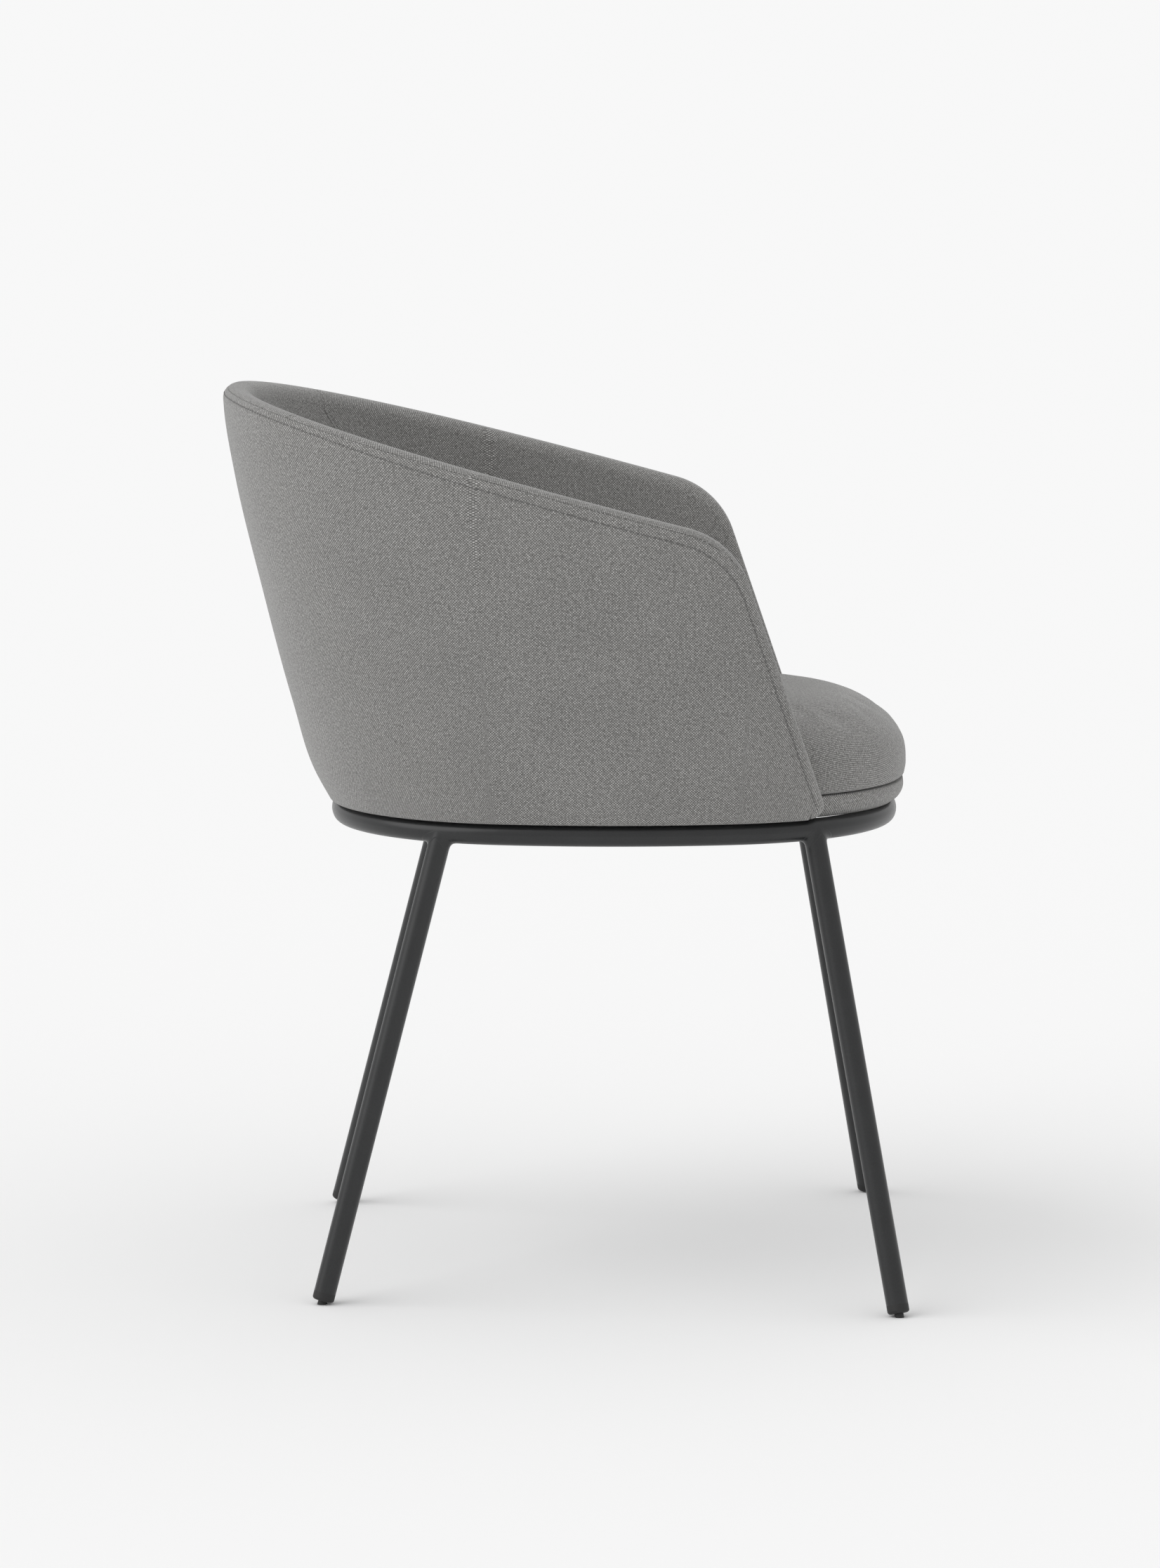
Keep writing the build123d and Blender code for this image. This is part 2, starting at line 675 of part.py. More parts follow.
for joint_name, (outward, core_reach, board_reach) in CORE_JOINTS.items():
    head_plane = joint_plane(outward, core_reach)
    with BuildPart() as shell_screw:
        with BuildSketch(head_plane):
            with Locations((-SCREW_SPREAD / 2, 0), (SCREW_SPREAD / 2, 0)):
                Circle(SCREW_HEAD_D / 2)
        extrude(amount=SCREW_HEAD)
        with BuildSketch(head_plane):
            with Locations((-SCREW_SPREAD / 2, 0), (SCREW_SPREAD / 2, 0)):
                Circle(SCREW_D / 2)
        extrude(amount=core_reach - board_reach + SCREW_BITE)
    screw_solids += shell_screw.part.solids()

    with BuildPart() as spacer:
        with BuildSketch(head_plane):
            Rectangle(BLOCK_WIDTH, BOARD)
        extrude(amount=core_reach - board_reach + BOARD)
        add(board_blank.part, mode=Mode.SUBTRACT)
        add(core_blank.part, mode=Mode.SUBTRACT)
        extrude(
            outline(wall_at(0).inset(CORE_INNER_FACE), BOARD_BOTTOM),
            amount=BOARD,
            mode=Mode.INTERSECT,
        )
        add(shell_screw.part, mode=Mode.SUBTRACT)
    spacer_solids[joint_name] = spacer.part

with BuildPart() as shell_screws:
    add(screw_solids)
shell_screws.part.label = "shell_screws"
export_step(shell_screws.part, "parts/shell_screws.step")

for joint_name, spacer_part in spacer_solids.items():
    spacer_part.label = "spacer_block_" + joint_name
    export_step(spacer_part, "parts/spacer_block_" + joint_name + ".step")

with BuildPart() as shell_core:
    add(core_blank.part)
    add(shell_screws.part, mode=Mode.SUBTRACT)
shell_core.part.label = "shell_core"
export_step(shell_core.part, "parts/shell_core.step")

with BuildPart() as outer_foam:
    add(outer_padding.part)
    add(shell_screws.part, mode=Mode.SUBTRACT)
outer_foam.part.label = "outer_foam"
export_step(outer_foam.part, "parts/outer_foam.step")


# ---------------------------------------------------------------- staples, seat base and cushion

STAPLE_LINE = outline(BOARD_EDGE.inset(STAPLE_INSET), RING_TOP).wire()
STAPLE_SHARES = [(index + 0.5) / STAPLE_COUNT for index in range(STAPLE_COUNT)]


def clear_of_rails(y: float) -> bool:
    """Whether a staple at this place along Y stands beside the cross rails, not on one."""
    return all(abs(y - rail_y) > RAIL_WIDTH / 2 + STAPLE_WIDTH for rail_y in RAIL_PLACES.values())


with BuildPart() as staples:
    for share_along in STAPLE_SHARES:
        staple_point = STAPLE_LINE @ share_along
        if not clear_of_rails(staple_point.Y):
            continue
        staple_plane = Plane(origin=staple_point, x_dir=STAPLE_LINE % share_along, z_dir=(0, 0, 1))
        with BuildSketch(staple_plane.offset(-STAPLE_WIRE)):
            Rectangle(STAPLE_WIDTH, STAPLE_WIRE)
        extrude(amount=STAPLE_WIRE)
        with BuildSketch(staple_plane):
            with GridLocations(STAPLE_WIDTH - STAPLE_WIRE, 0, 2, 1):
                Rectangle(STAPLE_WIRE, STAPLE_WIRE)
        extrude(amount=STAPLE_LEG)
staples.part.label = "staples"
export_step(staples.part, "parts/staples.step")

with BuildPart() as seat_board:
    add(board_blank.part)
    add(shell_screws.part, mode=Mode.SUBTRACT)
    add(staples.part, mode=Mode.SUBTRACT)
seat_board.part.label = "seat_board"
export_step(seat_board.part, "parts/seat_board.step")

with BuildPart() as dust_cover:
    extrude(outline(SEAT.inset(BASE_LEVELS[0][1] + DUST_INSET), RING_TOP), amount=DUST_COVER)
    add(staples.part, mode=Mode.SUBTRACT)
    with BuildSketch(Plane.XY.offset(RING_TOP)):
        with Locations(*BOLT_PLACES):
            Circle((BOLT_D + BOLT_CLEARANCE) / 2)
    extrude(amount=DUST_COVER, mode=Mode.SUBTRACT)
dust_cover.part.label = "dust_cover"
export_step(dust_cover.part, "parts/dust_cover.step")

# Room for the spacer blocks through the side of the seat base.
with BuildPart() as block_room:
    for outward, core_reach, board_reach in CORE_JOINTS.values():
        with BuildSketch(joint_plane(outward, core_reach)):
            Rectangle(BLOCK_WIDTH + 2 * BLOCK_FIT, BOARD)
        extrude(amount=core_reach - board_reach + BOARD)

with BuildPart() as seat_base_foam:
    loft(sections=seat_sections(FABRIC + LAYER_GAP, FABRIC + LAYER_GAP))
    extrude(outline(BOARD_EDGE, BOARD_BOTTOM), amount=BOARD, mode=Mode.SUBTRACT)
    with BuildSketch(Plane.XY.offset(BOARD_TOP)):
        with Locations(*BOLT_PLACES):
            Circle(TEE_FLANGE_D / 2)
    extrude(amount=TEE_FLANGE, mode=Mode.SUBTRACT)
    add(block_room.part, mode=Mode.SUBTRACT)
seat_base_foam.part.label = "seat_base_foam"
export_step(seat_base_foam.part, "parts/seat_base_foam.step")

with BuildPart() as seat_base_cover:
    loft(sections=seat_sections(0, 0))
    loft(sections=seat_sections(FABRIC, FABRIC), mode=Mode.SUBTRACT)
    extrude(
        outline(SEAT.inset(BASE_LEVELS[0][1] + HEM), HEM_BOTTOM),
        amount=FABRIC,
        mode=Mode.SUBTRACT,
    )
    add(block_room.part, mode=Mode.SUBTRACT)
    add(staples.part, mode=Mode.SUBTRACT)
seat_base_cover.part.label = "seat_base_cover"
export_step(seat_base_cover.part, "parts/seat_base_cover.step")

with BuildPart() as seat_cushion_foam:
    loft(sections=cushion_sections(FABRIC + LAYER_GAP))
seat_cushion_foam.part.label = "seat_cushion_foam"
export_step(seat_cushion_foam.part, "parts/seat_cushion_foam.step")

with BuildPart() as seat_cushion_cover:
    loft(sections=cushion_sections(0))
    loft(sections=cushion_sections(FABRIC), mode=Mode.SUBTRACT)
seat_cushion_cover.part.label = "seat_cushion_cover"
export_step(seat_cushion_cover.part, "parts/seat_cushion_cover.step")
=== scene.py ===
"""A fabric tub dining chair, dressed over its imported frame.

Metres, +Z up, the front faces -Y, the origin is on the floor under the chair's middle.
"""

from __future__ import annotations

import json
import logging
from dataclasses import dataclass, field
from enum import Enum
from math import pi, radians, tan

import bmesh
import bpy
import numpy as np
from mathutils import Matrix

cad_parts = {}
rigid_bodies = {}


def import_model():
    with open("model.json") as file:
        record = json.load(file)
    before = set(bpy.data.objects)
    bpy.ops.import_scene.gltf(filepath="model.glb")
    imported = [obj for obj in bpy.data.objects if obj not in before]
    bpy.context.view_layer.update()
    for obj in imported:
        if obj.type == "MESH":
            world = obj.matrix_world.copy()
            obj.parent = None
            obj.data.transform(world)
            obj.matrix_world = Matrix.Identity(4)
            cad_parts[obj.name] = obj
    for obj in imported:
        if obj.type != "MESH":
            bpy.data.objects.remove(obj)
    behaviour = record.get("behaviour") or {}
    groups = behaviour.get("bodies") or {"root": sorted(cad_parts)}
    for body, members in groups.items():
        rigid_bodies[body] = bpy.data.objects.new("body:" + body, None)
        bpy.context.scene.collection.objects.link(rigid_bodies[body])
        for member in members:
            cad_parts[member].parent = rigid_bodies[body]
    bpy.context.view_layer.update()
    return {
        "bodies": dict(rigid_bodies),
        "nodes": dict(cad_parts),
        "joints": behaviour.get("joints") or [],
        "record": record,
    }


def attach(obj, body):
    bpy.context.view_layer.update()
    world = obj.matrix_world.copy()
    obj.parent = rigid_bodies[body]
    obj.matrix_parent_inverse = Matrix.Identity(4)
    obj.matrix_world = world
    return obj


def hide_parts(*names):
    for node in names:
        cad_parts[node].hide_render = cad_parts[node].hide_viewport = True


LOG = logging.getLogger("chair")
MM = 0.001


# ---------------------------------------------------------------- small tools


def linear(hex_value: str) -> tuple[float, float, float, float]:
    """Turn an sRGB colour into the linear one that a shader takes.

    Args:
        hex_value: Six hex digits, such as "7f8080".

    Returns:
        Red, green, blue and alpha.
    """
    channels = [int(hex_value[start : start + 2], 16) / 255 for start in (0, 2, 4)]
    lin = [c / 12.92 if c <= 0.04045 else ((c + 0.055) / 1.055) ** 2.4 for c in channels]
    return lin[0], lin[1], lin[2], 1.0


def add_node(
    tree: bpy.types.NodeTree,
    kind: str,
    settings: dict[str | int, object] | None = None,
    links: dict[str | int, bpy.types.NodeSocket] | None = None,
) -> bpy.types.Node:
    """Add a node with its settings and its links.

    Args:
        tree: The material's or the world's node tree.
        kind: The node's type.
        settings: Values by property name, or by the name or number of an input.
        links: Sockets that feed inputs, by the input's name or number.

    Returns:
        The new node.
    """
    node = tree.nodes.new(kind)
    for key, value in (settings or {}).items():
        if isinstance(key, int) or key in node.inputs:
            node.inputs[key].default_value = value
        else:
            setattr(node, key, value)
    for key, socket in (links or {}).items():
        tree.links.new(socket, node.inputs[key])
    return node


def blend(low: float | np.ndarray, high: float | np.ndarray, share: float | np.ndarray):
    """Mix two values, clamped to them, with a smooth start and end.

    Args:
        low: The value at share 0.
        high: The value at share 1.
        share: How far along, taken as 0 to 1.

    Returns:
        The mixed value.
    """
    s = np.clip(share, 0.0, 1.0)
    return low + (high - low) * s * s * (3 - 2 * s)


def soft_min(a: np.ndarray, b: np.ndarray, width: float) -> np.ndarray:
    """The lower of two values, rounded where they cross.

    Args:
        a: First values.
        b: Second values.
        width: How far from the crossing the rounding reaches.

    Returns:
        The rounded minimum.
    """
    h = np.clip(0.5 + 0.5 * (b - a) / width, 0.0, 1.0)
    return b + (a - b) * h - width * h * (1 - h)


def hermite(at: np.ndarray, knots: np.ndarray, values: np.ndarray) -> np.ndarray:
    """A smooth curve through values at knots.

    Args:
        at: Where to read the curve.
        knots: Rising places of the values.
        values: One value at each knot.

    Returns:
        The curve's values.
    """
    slopes = np.gradient(values, knots)
    spot = np.clip(at, knots[0], knots[-1])
    cell = np.clip(np.searchsorted(knots, spot, side="right") - 1, 0, len(knots) - 2)
    width = knots[cell + 1] - knots[cell]
    s = (spot - knots[cell]) / width
    return (
        values[cell] * (1 + 2 * s) * (1 - s) ** 2
        + slopes[cell] * width * s * (1 - s) ** 2
        + values[cell + 1] * s * s * (3 - 2 * s)
        + slopes[cell + 1] * width * s * s * (s - 1)
    )


def unit(vectors: np.ndarray) -> np.ndarray:
    """Vectors along the last axis, each made one long."""
    return vectors / np.maximum(np.linalg.norm(vectors, axis=-1, keepdims=True), 1e-12)


def running_length(points: np.ndarray) -> np.ndarray:
    """The distance along a polyline at each of its points, from 0."""
    steps = np.linalg.norm(np.diff(points, axis=0), axis=1)
    return np.concatenate([[0.0], np.cumsum(steps)])


def round_corner(
    before: np.ndarray, corner: np.ndarray, after: np.ndarray, steps: int
) -> np.ndarray:
    """Points of a circular arc that rounds a corner.

    Args:
        before: The arc's start, on one side of the corner.
        corner: The sharp corner, as far from the start as from the end.
        after: The arc's end, on the other side.
        steps: How many segments the arc gets.

    Returns:
        The arc's points, the two ends among them.
    """
    to_start = unit(before - corner)
    to_end = unit(after - corner)
    cosine = np.clip(np.sum(to_start * to_end, axis=-1), -1, 1)
    weight = np.sqrt((1 - cosine) / 2)[..., None]
    shares = np.linspace(0, 1, steps + 1)
    arc = []
    for s in shares:
        total = (1 - s) ** 2 + 2 * s * (1 - s) * weight + s * s
        place = (1 - s) ** 2 * before + 2 * s * (1 - s) * weight * corner + s * s * after
        arc.append(place / total)
    return np.stack(arc, axis=-2)


# ---------------------------------------------------------------- meshes


@dataclass
class Sheet:
    """Grids of points that become one mesh, with its weave coordinates."""

    points: list[np.ndarray] = field(default_factory=list)
    weave: list[np.ndarray] = field(default_factory=list)
    faces: list[tuple[int, ...]] = field(default_factory=list)
    count: int = 0

    def grid(
        self, points: np.ndarray, weave: np.ndarray, flip: bool = False, loop: bool = False
    ) -> None:
        """Add a grid of quads.

        Args:
            points: Places, rows by columns by three.
            weave: Fabric coordinates in metres, rows by columns by two.
            flip: Turn the faces over.
            loop: Join the last column to the first.
        """
        rows, columns = points.shape[:2]
        self.points.append(points.reshape(-1, 3))
        self.weave.append(weave.reshape(-1, 2))
        for row in range(rows - 1):
            for column in range(columns if loop else columns - 1):
                a = self.count + row * columns + column
                b = self.count + row * columns + (column + 1) % columns
                quad = (a, b, b + columns, a + columns)
                self.faces.append(quad[::-1] if flip else quad)
        self.count += rows * columns

    def build(self, name: str, weld: float = 0.02 * MM) -> bpy.types.Object:
        """Make the mesh object.

        Args:
            name: The piece's name.
            weld: Points closer than this become one.

        Returns:
            The object, smooth shaded.
        """
        points = np.concatenate(self.points)
        weave = np.concatenate(self.weave)
        mesh = bpy.data.meshes.new(name)
        mesh.from_pydata(points.tolist(), [], self.faces)
        layer = mesh.uv_layers.new(name="weave")
        corners = np.empty(len(mesh.loops), dtype=np.int32)
        mesh.loops.foreach_get("vertex_index", corners)
        layer.data.foreach_set("uv", weave[corners].ravel())
        piece = bpy.data.objects.new(name, mesh)
        bpy.context.collection.objects.link(piece)
        work = bmesh.new()
        work.from_mesh(mesh)
        bmesh.ops.remove_doubles(work, verts=work.verts, dist=weld)
        bmesh.ops.dissolve_degenerate(work, edges=work.edges, dist=weld)
        work.to_mesh(mesh)
        work.free()
        mesh.polygons.foreach_set("use_smooth", [True] * len(mesh.polygons))
        mesh.update()
        return piece


def thread_stitches(
    name: str,
    path: np.ndarray,
    outward: np.ndarray,
    pitch: float,
    length: float,
    radius: float,
) -> bpy.types.Object:
    """Make a row of separate stitches that dip into the cloth at both ends.

    Args:
        name: The piece's name.
        path: Points along the sewn line.
        outward: The cloth's outward direction at each of them.
        pitch: From one stitch to the next.
        length: Length of one stitch.
        radius: Half the thread's thickness.

    Returns:
        One object that holds all the stitches.
    """
    along = running_length(path)
    count = int(along[-1] // pitch)
    starts = (np.arange(count) + 0.5) * (along[-1] / count) - length / 2
    stations = np.array([0.0, 0.12, 0.5, 0.88, 1.0])
    lift = np.array([-0.9, 0.2, 0.75, 0.2, -0.9]) * radius
    girth = np.array([0.55, 0.95, 1.05, 0.95, 0.55]) * radius
    turns = np.arange(6) * (2 * pi / 6)
    sheet = Sheet()
    for start in starts:
        at = start + stations * length
        centre = np.stack([np.interp(at, along, path[:, k]) for k in range(3)], axis=1)
        up = unit(np.stack([np.interp(at, along, outward[:, k]) for k in range(3)], axis=1))
        ahead = unit(np.gradient(centre, axis=0))
        across = unit(np.cross(ahead, up))
        centre = centre + up * lift[:, None]
        ring = (
            centre[:, None, :]
            + across[:, None, :] * (np.cos(turns)[None, :, None] * girth[:, None, None])
            + up[:, None, :] * (np.sin(turns)[None, :, None] * girth[:, None, None])
        )
        sheet.grid(ring, np.zeros(ring.shape[:2] + (2,)), loop=True)
    return sheet.build(name, weld=0.001 * MM)


# ---------------------------------------------------------------- outlines and walls


@dataclass(frozen=True)
class Oval:
    """A level outline of side, end and corner arcs. Its values may be arrays of many outlines."""

    centre_y: float
    half_width: float | np.ndarray
    half_length: float | np.ndarray
    side_radius: float | np.ndarray
    end_radius: float | np.ndarray
    corner_radius: float | np.ndarray

    def inset(self, distance: float | np.ndarray) -> Oval:
        """The parallel outline inside this one.

        Args:
            distance: How far inside, or outside where it is negative.

        Returns:
            The parallel outline.
        """
        return Oval(
            self.centre_y,
            self.half_width - distance,
            self.half_length - distance,
            self.side_radius - distance,
            self.end_radius - distance,
            self.corner_radius - distance,
        )

    def mixed(self, other: Oval, side_share: np.ndarray, back_share: np.ndarray) -> Oval:
        """The outline between this one and another.

        Args:
            other: The outline at share 1.
            side_share: How far the sides have gone.
            back_share: How far the length and the radii have gone.

        Returns:
            One outline, or many where the shares are arrays.
        """
        return Oval(
            self.centre_y,
            self.half_width + (other.half_width - self.half_width) * side_share,
            self.half_length + (other.half_length - self.half_length) * back_share,
            self.side_radius + (other.side_radius - self.side_radius) * back_share,
            self.end_radius + (other.end_radius - self.end_radius) * back_share,
            self.corner_radius + (other.corner_radius - self.corner_radius) * back_share,
        )

    def corner(self) -> tuple[np.ndarray, np.ndarray]:
        """The centre of the corner arc, from the outline's own centre."""
        side_x = self.half_width - self.side_radius
        end_y = self.half_length - self.end_radius
        from_side = self.side_radius - self.corner_radius
        from_end = self.end_radius - self.corner_radius
        apart = np.hypot(side_x, end_y)
        along = (from_side**2 - from_end**2 + apart**2) / (2 * apart)
        across = np.sqrt(from_side**2 - along**2)
        x = side_x - along * side_x / apart - across * end_y / apart
        y = along * end_y / apart - across * side_x / apart
        return x, y

    def turns(self) -> tuple[np.ndarray, np.ndarray]:
        """Where the corner arc meets the side arc and the end arc, as angles of the normal."""
        x, y = self.corner()
        side = np.arctan2(y, x - (self.half_width - self.side_radius))
        end = np.arctan2(y - (self.half_length - self.end_radius), x)
        return side, end

    def at(self, angle: np.ndarray) -> tuple[np.ndarray, np.ndarray]:
        """The point whose normal has an angle: 0 is the side, 90 degrees the back.

        Args:
            angle: Angles of the normal, from -90 to 90 degrees, in radians.

        Returns:
            X and Y on the positive X half.
        """
        corner_x, corner_y = self.corner()
        side, end = self.turns()
        size = np.abs(angle)
        on_side = size <= side
        on_end = size >= end
        x = np.where(
            on_side,
            self.half_width - self.side_radius + self.side_radius * np.cos(size),
            np.where(
                on_end,
                self.end_radius * np.cos(size),
                corner_x + self.corner_radius * np.cos(size),
            ),
        )
        y = np.where(
            on_side,
            self.side_radius * np.sin(size),
            np.where(
                on_end,
                self.half_length - self.end_radius + self.end_radius * np.sin(size),
                corner_y + self.corner_radius * np.sin(size),
            ),
        )
        return x, self.centre_y + np.sign(angle) * y

    def angle_at(self, y: np.ndarray) -> np.ndarray:
        """The normal's angle where the outline crosses a place along Y.

        Args:
            y: The place along Y.

        Returns:
            Angle in radians, below 0 in front of the outline's centre.
        """
        _, corner_y = self.corner()
        side, end = self.turns()
        size = np.abs(y - self.centre_y)
        side_reach = self.side_radius * np.sin(side)
        corner_reach = corner_y + self.corner_radius * np.sin(end)
        on_side = np.arcsin(np.clip(size / self.side_radius, -1, 1))
        on_corner = np.arcsin(np.clip((size - corner_y) / self.corner_radius, -1, 1))
        end_sine = (size - self.half_length + self.end_radius) / self.end_radius
        on_end = np.arcsin(np.clip(end_sine, -1, 1))
        past_side = np.where(size <= corner_reach, on_corner, on_end)
        found = np.where(size <= side_reach, on_side, past_side)
        return np.sign(y - self.centre_y) * found

    def outside(self, x: np.ndarray, y: np.ndarray) -> np.ndarray:
        """How far points are outside the outline.

        Args:
            x: The points' places along X.
            y: The points' places along Y.

        Returns:
            Distances, negative for points inside.
        """
        corner_x, corner_y = self.corner()
        side, end = self.turns()
        away_x = np.abs(x)
        away_y = np.abs(y - self.centre_y)
        angle = np.arctan2(away_y - corner_y, away_x - corner_x)
        side_x = self.half_width - self.side_radius
        end_y = self.half_length - self.end_radius
        from_side = np.hypot(away_x - side_x, away_y) - self.side_radius
        from_end = np.hypot(away_x, away_y - end_y) - self.end_radius
        from_corner = np.hypot(away_x - corner_x, away_y - corner_y) - self.corner_radius
        return np.where(angle < side, from_side, np.where(angle > end, from_end, from_corner))


@dataclass(frozen=True)
class SeatForm:
    """The seat base and the cushion, as outlines by height."""

    outline: Oval = Oval(-51.3 * MM, 212 * MM, 247 * MM, 466 * MM, 440 * MM, 180 * MM)
    foot: float = 414.6 * MM
    base_top: float = 433.4 * MM
    cushion_foot: float = 434.0 * MM
    cushion_top: float = 511.8 * MM
    cushion_proud: float = 4.6 * MM
    # Height above the floor, and how far inside the cushion's widest outline.
    crown: tuple[tuple[float, float], ...] = (
        (434.0, 5.6),
        (436.9, 4.3),
        (443.9, 1.2),
        (452.0, 0.0),
        (465.3, 2.0),
        (476.5, 8.2),
        (484.5, 15.4),
        (493.0, 27.9),
        (502.3, 53.0),
        (507.6, 78.0),
        (509.8, 108.0),
    )
    # Share of the base's height, and how far inside its widest outline.
    edge: tuple[tuple[float, float], ...] = ((0.0, 9.0), (0.22, 3.5), (0.58, 0.0), (1.0, 0.5))

    def widest(self) -> Oval:
        """The cushion's widest outline."""
        return self.outline.inset(-self.cushion_proud)

    def inset_at(self, height: np.ndarray) -> np.ndarray:
        """How far inside the base's outline the seat is.

        Args:
            height: Height above the floor.

        Returns:
            Distance in metres, negative where the cushion stands proud.
        """
        edge = np.array(self.edge)
        crown = np.array(self.crown) * MM
        base_z = self.foot + edge[:, 0] * (self.base_top - self.foot)
        heights = np.concatenate([base_z, crown[:, 0]])
        insets = np.concatenate([edge[:, 1] * MM, crown[:, 1] - self.cushion_proud])
        return np.interp(height, heights, insets)


@dataclass(frozen=True)
class TubWall:
    """The wall that makes the back and both arms."""

    foot: float = 415 * MM
    foot_outline: Oval = Oval(-41.8 * MM, 223 * MM, 252 * MM, 521 * MM, 494 * MM, 184 * MM)
    top_outline: Oval = Oval(-41.8 * MM, 302 * MM, 345 * MM, 520 * MM, 420 * MM, 285 * MM)
    arm_foot_y: float = -226.3 * MM
    arm_top_y: float = -140.8 * MM
    arm_top_height: float = 249.6 * MM
    arm_foot_radius: float = 12 * MM
    arm_top_radius: float = 75 * MM
    rim_slope: float = radians(14.8)
    seat_clearance: float = 0.5 * MM
    seat: SeatForm = SeatForm()
    # Height above the foot, back lean, side lean, thickness.
    levels: tuple[tuple[float, float, float, float], ...] = (
        (0.0, 0.0, 0.0, 15.4),
        (25.0, 0.148, 0.17, 19.0),
        (85.0, 0.352, 0.435, 29.0),
        (185.0, 0.635, 0.78, 30.0),
        (285.0, 0.888, 0.98, 30.0),
        (345.0, 0.99, 1.0, 28.0),
        (385.0, 1.0, 1.0, 28.0),
    )

    def outline_at(self, z: np.ndarray) -> Oval:
        """The outer face's outline.

        Args:
            z: Height above the floor.

        Returns:
            The outline at that height, or many outlines for many heights.
        """
        knots = np.array(self.levels)
        above = (np.asarray(z) - self.foot) / MM
        back = hermite(above, knots[:, 0], knots[:, 1])
        side = hermite(above, knots[:, 0], knots[:, 2])
        return self.foot_outline.mixed(self.top_outline, side, back)

    def thickness(self, angle: np.ndarray, z: np.ndarray) -> np.ndarray:
        """The wall's thickness, thinner where the seat stands close behind it.

        Args:
            angle: Angle of the wall's normal.
            z: Height above the floor.

        Returns:
            Thickness in metres.
        """
        knots = np.array(self.levels)
        above = (np.asarray(z) - self.foot) / MM
        full = hermite(above, knots[:, 0], knots[:, 3]) * MM
        x, y = self.outline_at(z).at(angle)
        room = self.seat.outline.inset(self.seat.inset_at(z)).outside(x, y) - self.seat_clearance
        return soft_min(full, room, 4 * MM)

    def point(self, angle: np.ndarray, z: np.ndarray, inset: float | np.ndarray) -> np.ndarray:
        """Points a distance inside the outer face, on the positive X half."""
        x, y = self.outline_at(z).inset(inset).at(angle)
        return np.stack([x, y, np.broadcast_to(z, x.shape)], axis=-1)

    def face(self, angle: np.ndarray, z: np.ndarray, inner: bool) -> np.ndarray:
        """Points on the outer face, or on the inner one."""
        inset = self.thickness(angle, z) if inner else 0.0
        return self.point(angle, z, inset)

    def rim_height(self, y: np.ndarray) -> np.ndarray:
        """Height of the rim's cut above the floor at a place along Y."""
        return self.foot + self.arm_top_height + (y - self.arm_top_y) * tan(self.rim_slope)

    def arm_profile(self, steps: int) -> np.ndarray:
        """The arm's front edge and top corner seen from the side.

        Args:
            steps: Number of points.

        Returns:
            Y and Z from the foot, up the edge and round on to the rim.
        """
        foot = np.array([self.arm_foot_y, self.foot])
        top = np.array([self.arm_top_y, self.foot + self.arm_top_height])
        up = unit(top - foot)
        back = np.array([1.0, 0.0])
        along = np.array([np.cos(self.rim_slope), np.sin(self.rim_slope)])

        def tangent(one: np.ndarray, two: np.ndarray, radius: float) -> float:
            """Length from a corner to where its rounding starts."""
            return radius / np.tan(np.arccos(np.dot(one, two)) / 2)

        foot_reach = tangent(up, back, self.arm_foot_radius)
        top_reach = tangent(-up, along, self.arm_top_radius)
        rounded_foot = round_corner(foot + back * foot_reach, foot, foot + up * foot_reach, 24)
        rounded_top = round_corner(top - up * top_reach, top, top + along * top_reach, 60)
        rim = top + along * np.array([[top_reach + 5 * MM]])
        path = np.concatenate([rounded_foot, rounded_top, rim])
        lengths = running_length(path)
        at = np.linspace(0, lengths[-1], steps)
        return np.stack([np.interp(at, lengths, path[:, k]) for k in range(2)], axis=1)

    def edge_curve(self, inner: bool, steps: int) -> tuple[np.ndarray, np.ndarray]:
        """The face's sharp edge from the arm's foot to the middle of the back.

        Args:
            inner: Which face.
            steps: Points for the arm, and again for the rim.

        Returns:
            Angles of the normal and heights.
        """
        profile = self.arm_profile(steps)
        z = profile[:, 1]
        inset = np.zeros(steps)
        for _ in range(6 if inner else 1):
            angle = self.outline_at(z).inset(inset).angle_at(profile[:, 0])
            inset = self.thickness(angle, z) if inner else inset
        sweep = np.linspace(angle[-1], pi / 2, steps + 1)[1:]
        height = np.full(steps, z[-1])
        for _ in range(12):
            height = self.rim_height(self.face(sweep, height, inner)[:, 1])
        return np.concatenate([angle, sweep]), np.concatenate([z, height])


# ---------------------------------------------------------------- finishes


class Grain(Enum):
    """How a pattern of marks is stretched."""

    EVEN = (1.0, 1.0, 1.0)
    ALONG_X = (1.0, 12.0, 12.0)


def new_tree(name: str) -> tuple[bpy.types.Material, bpy.types.NodeTree]:
    """Start a material.

    Args:
        name: The material's name.

    Returns:
        An empty material and its node tree.
    """
    material = bpy.data.materials.new(name)
    material.use_nodes = True
    material.node_tree.nodes.clear()
    return material, material.node_tree


def close_tree(tree: bpy.types.NodeTree, shader: bpy.types.Node) -> None:
    """Feed a shader to the material's output."""
    add_node(tree, "ShaderNodeOutputMaterial", links={"Surface": shader.outputs[0]})


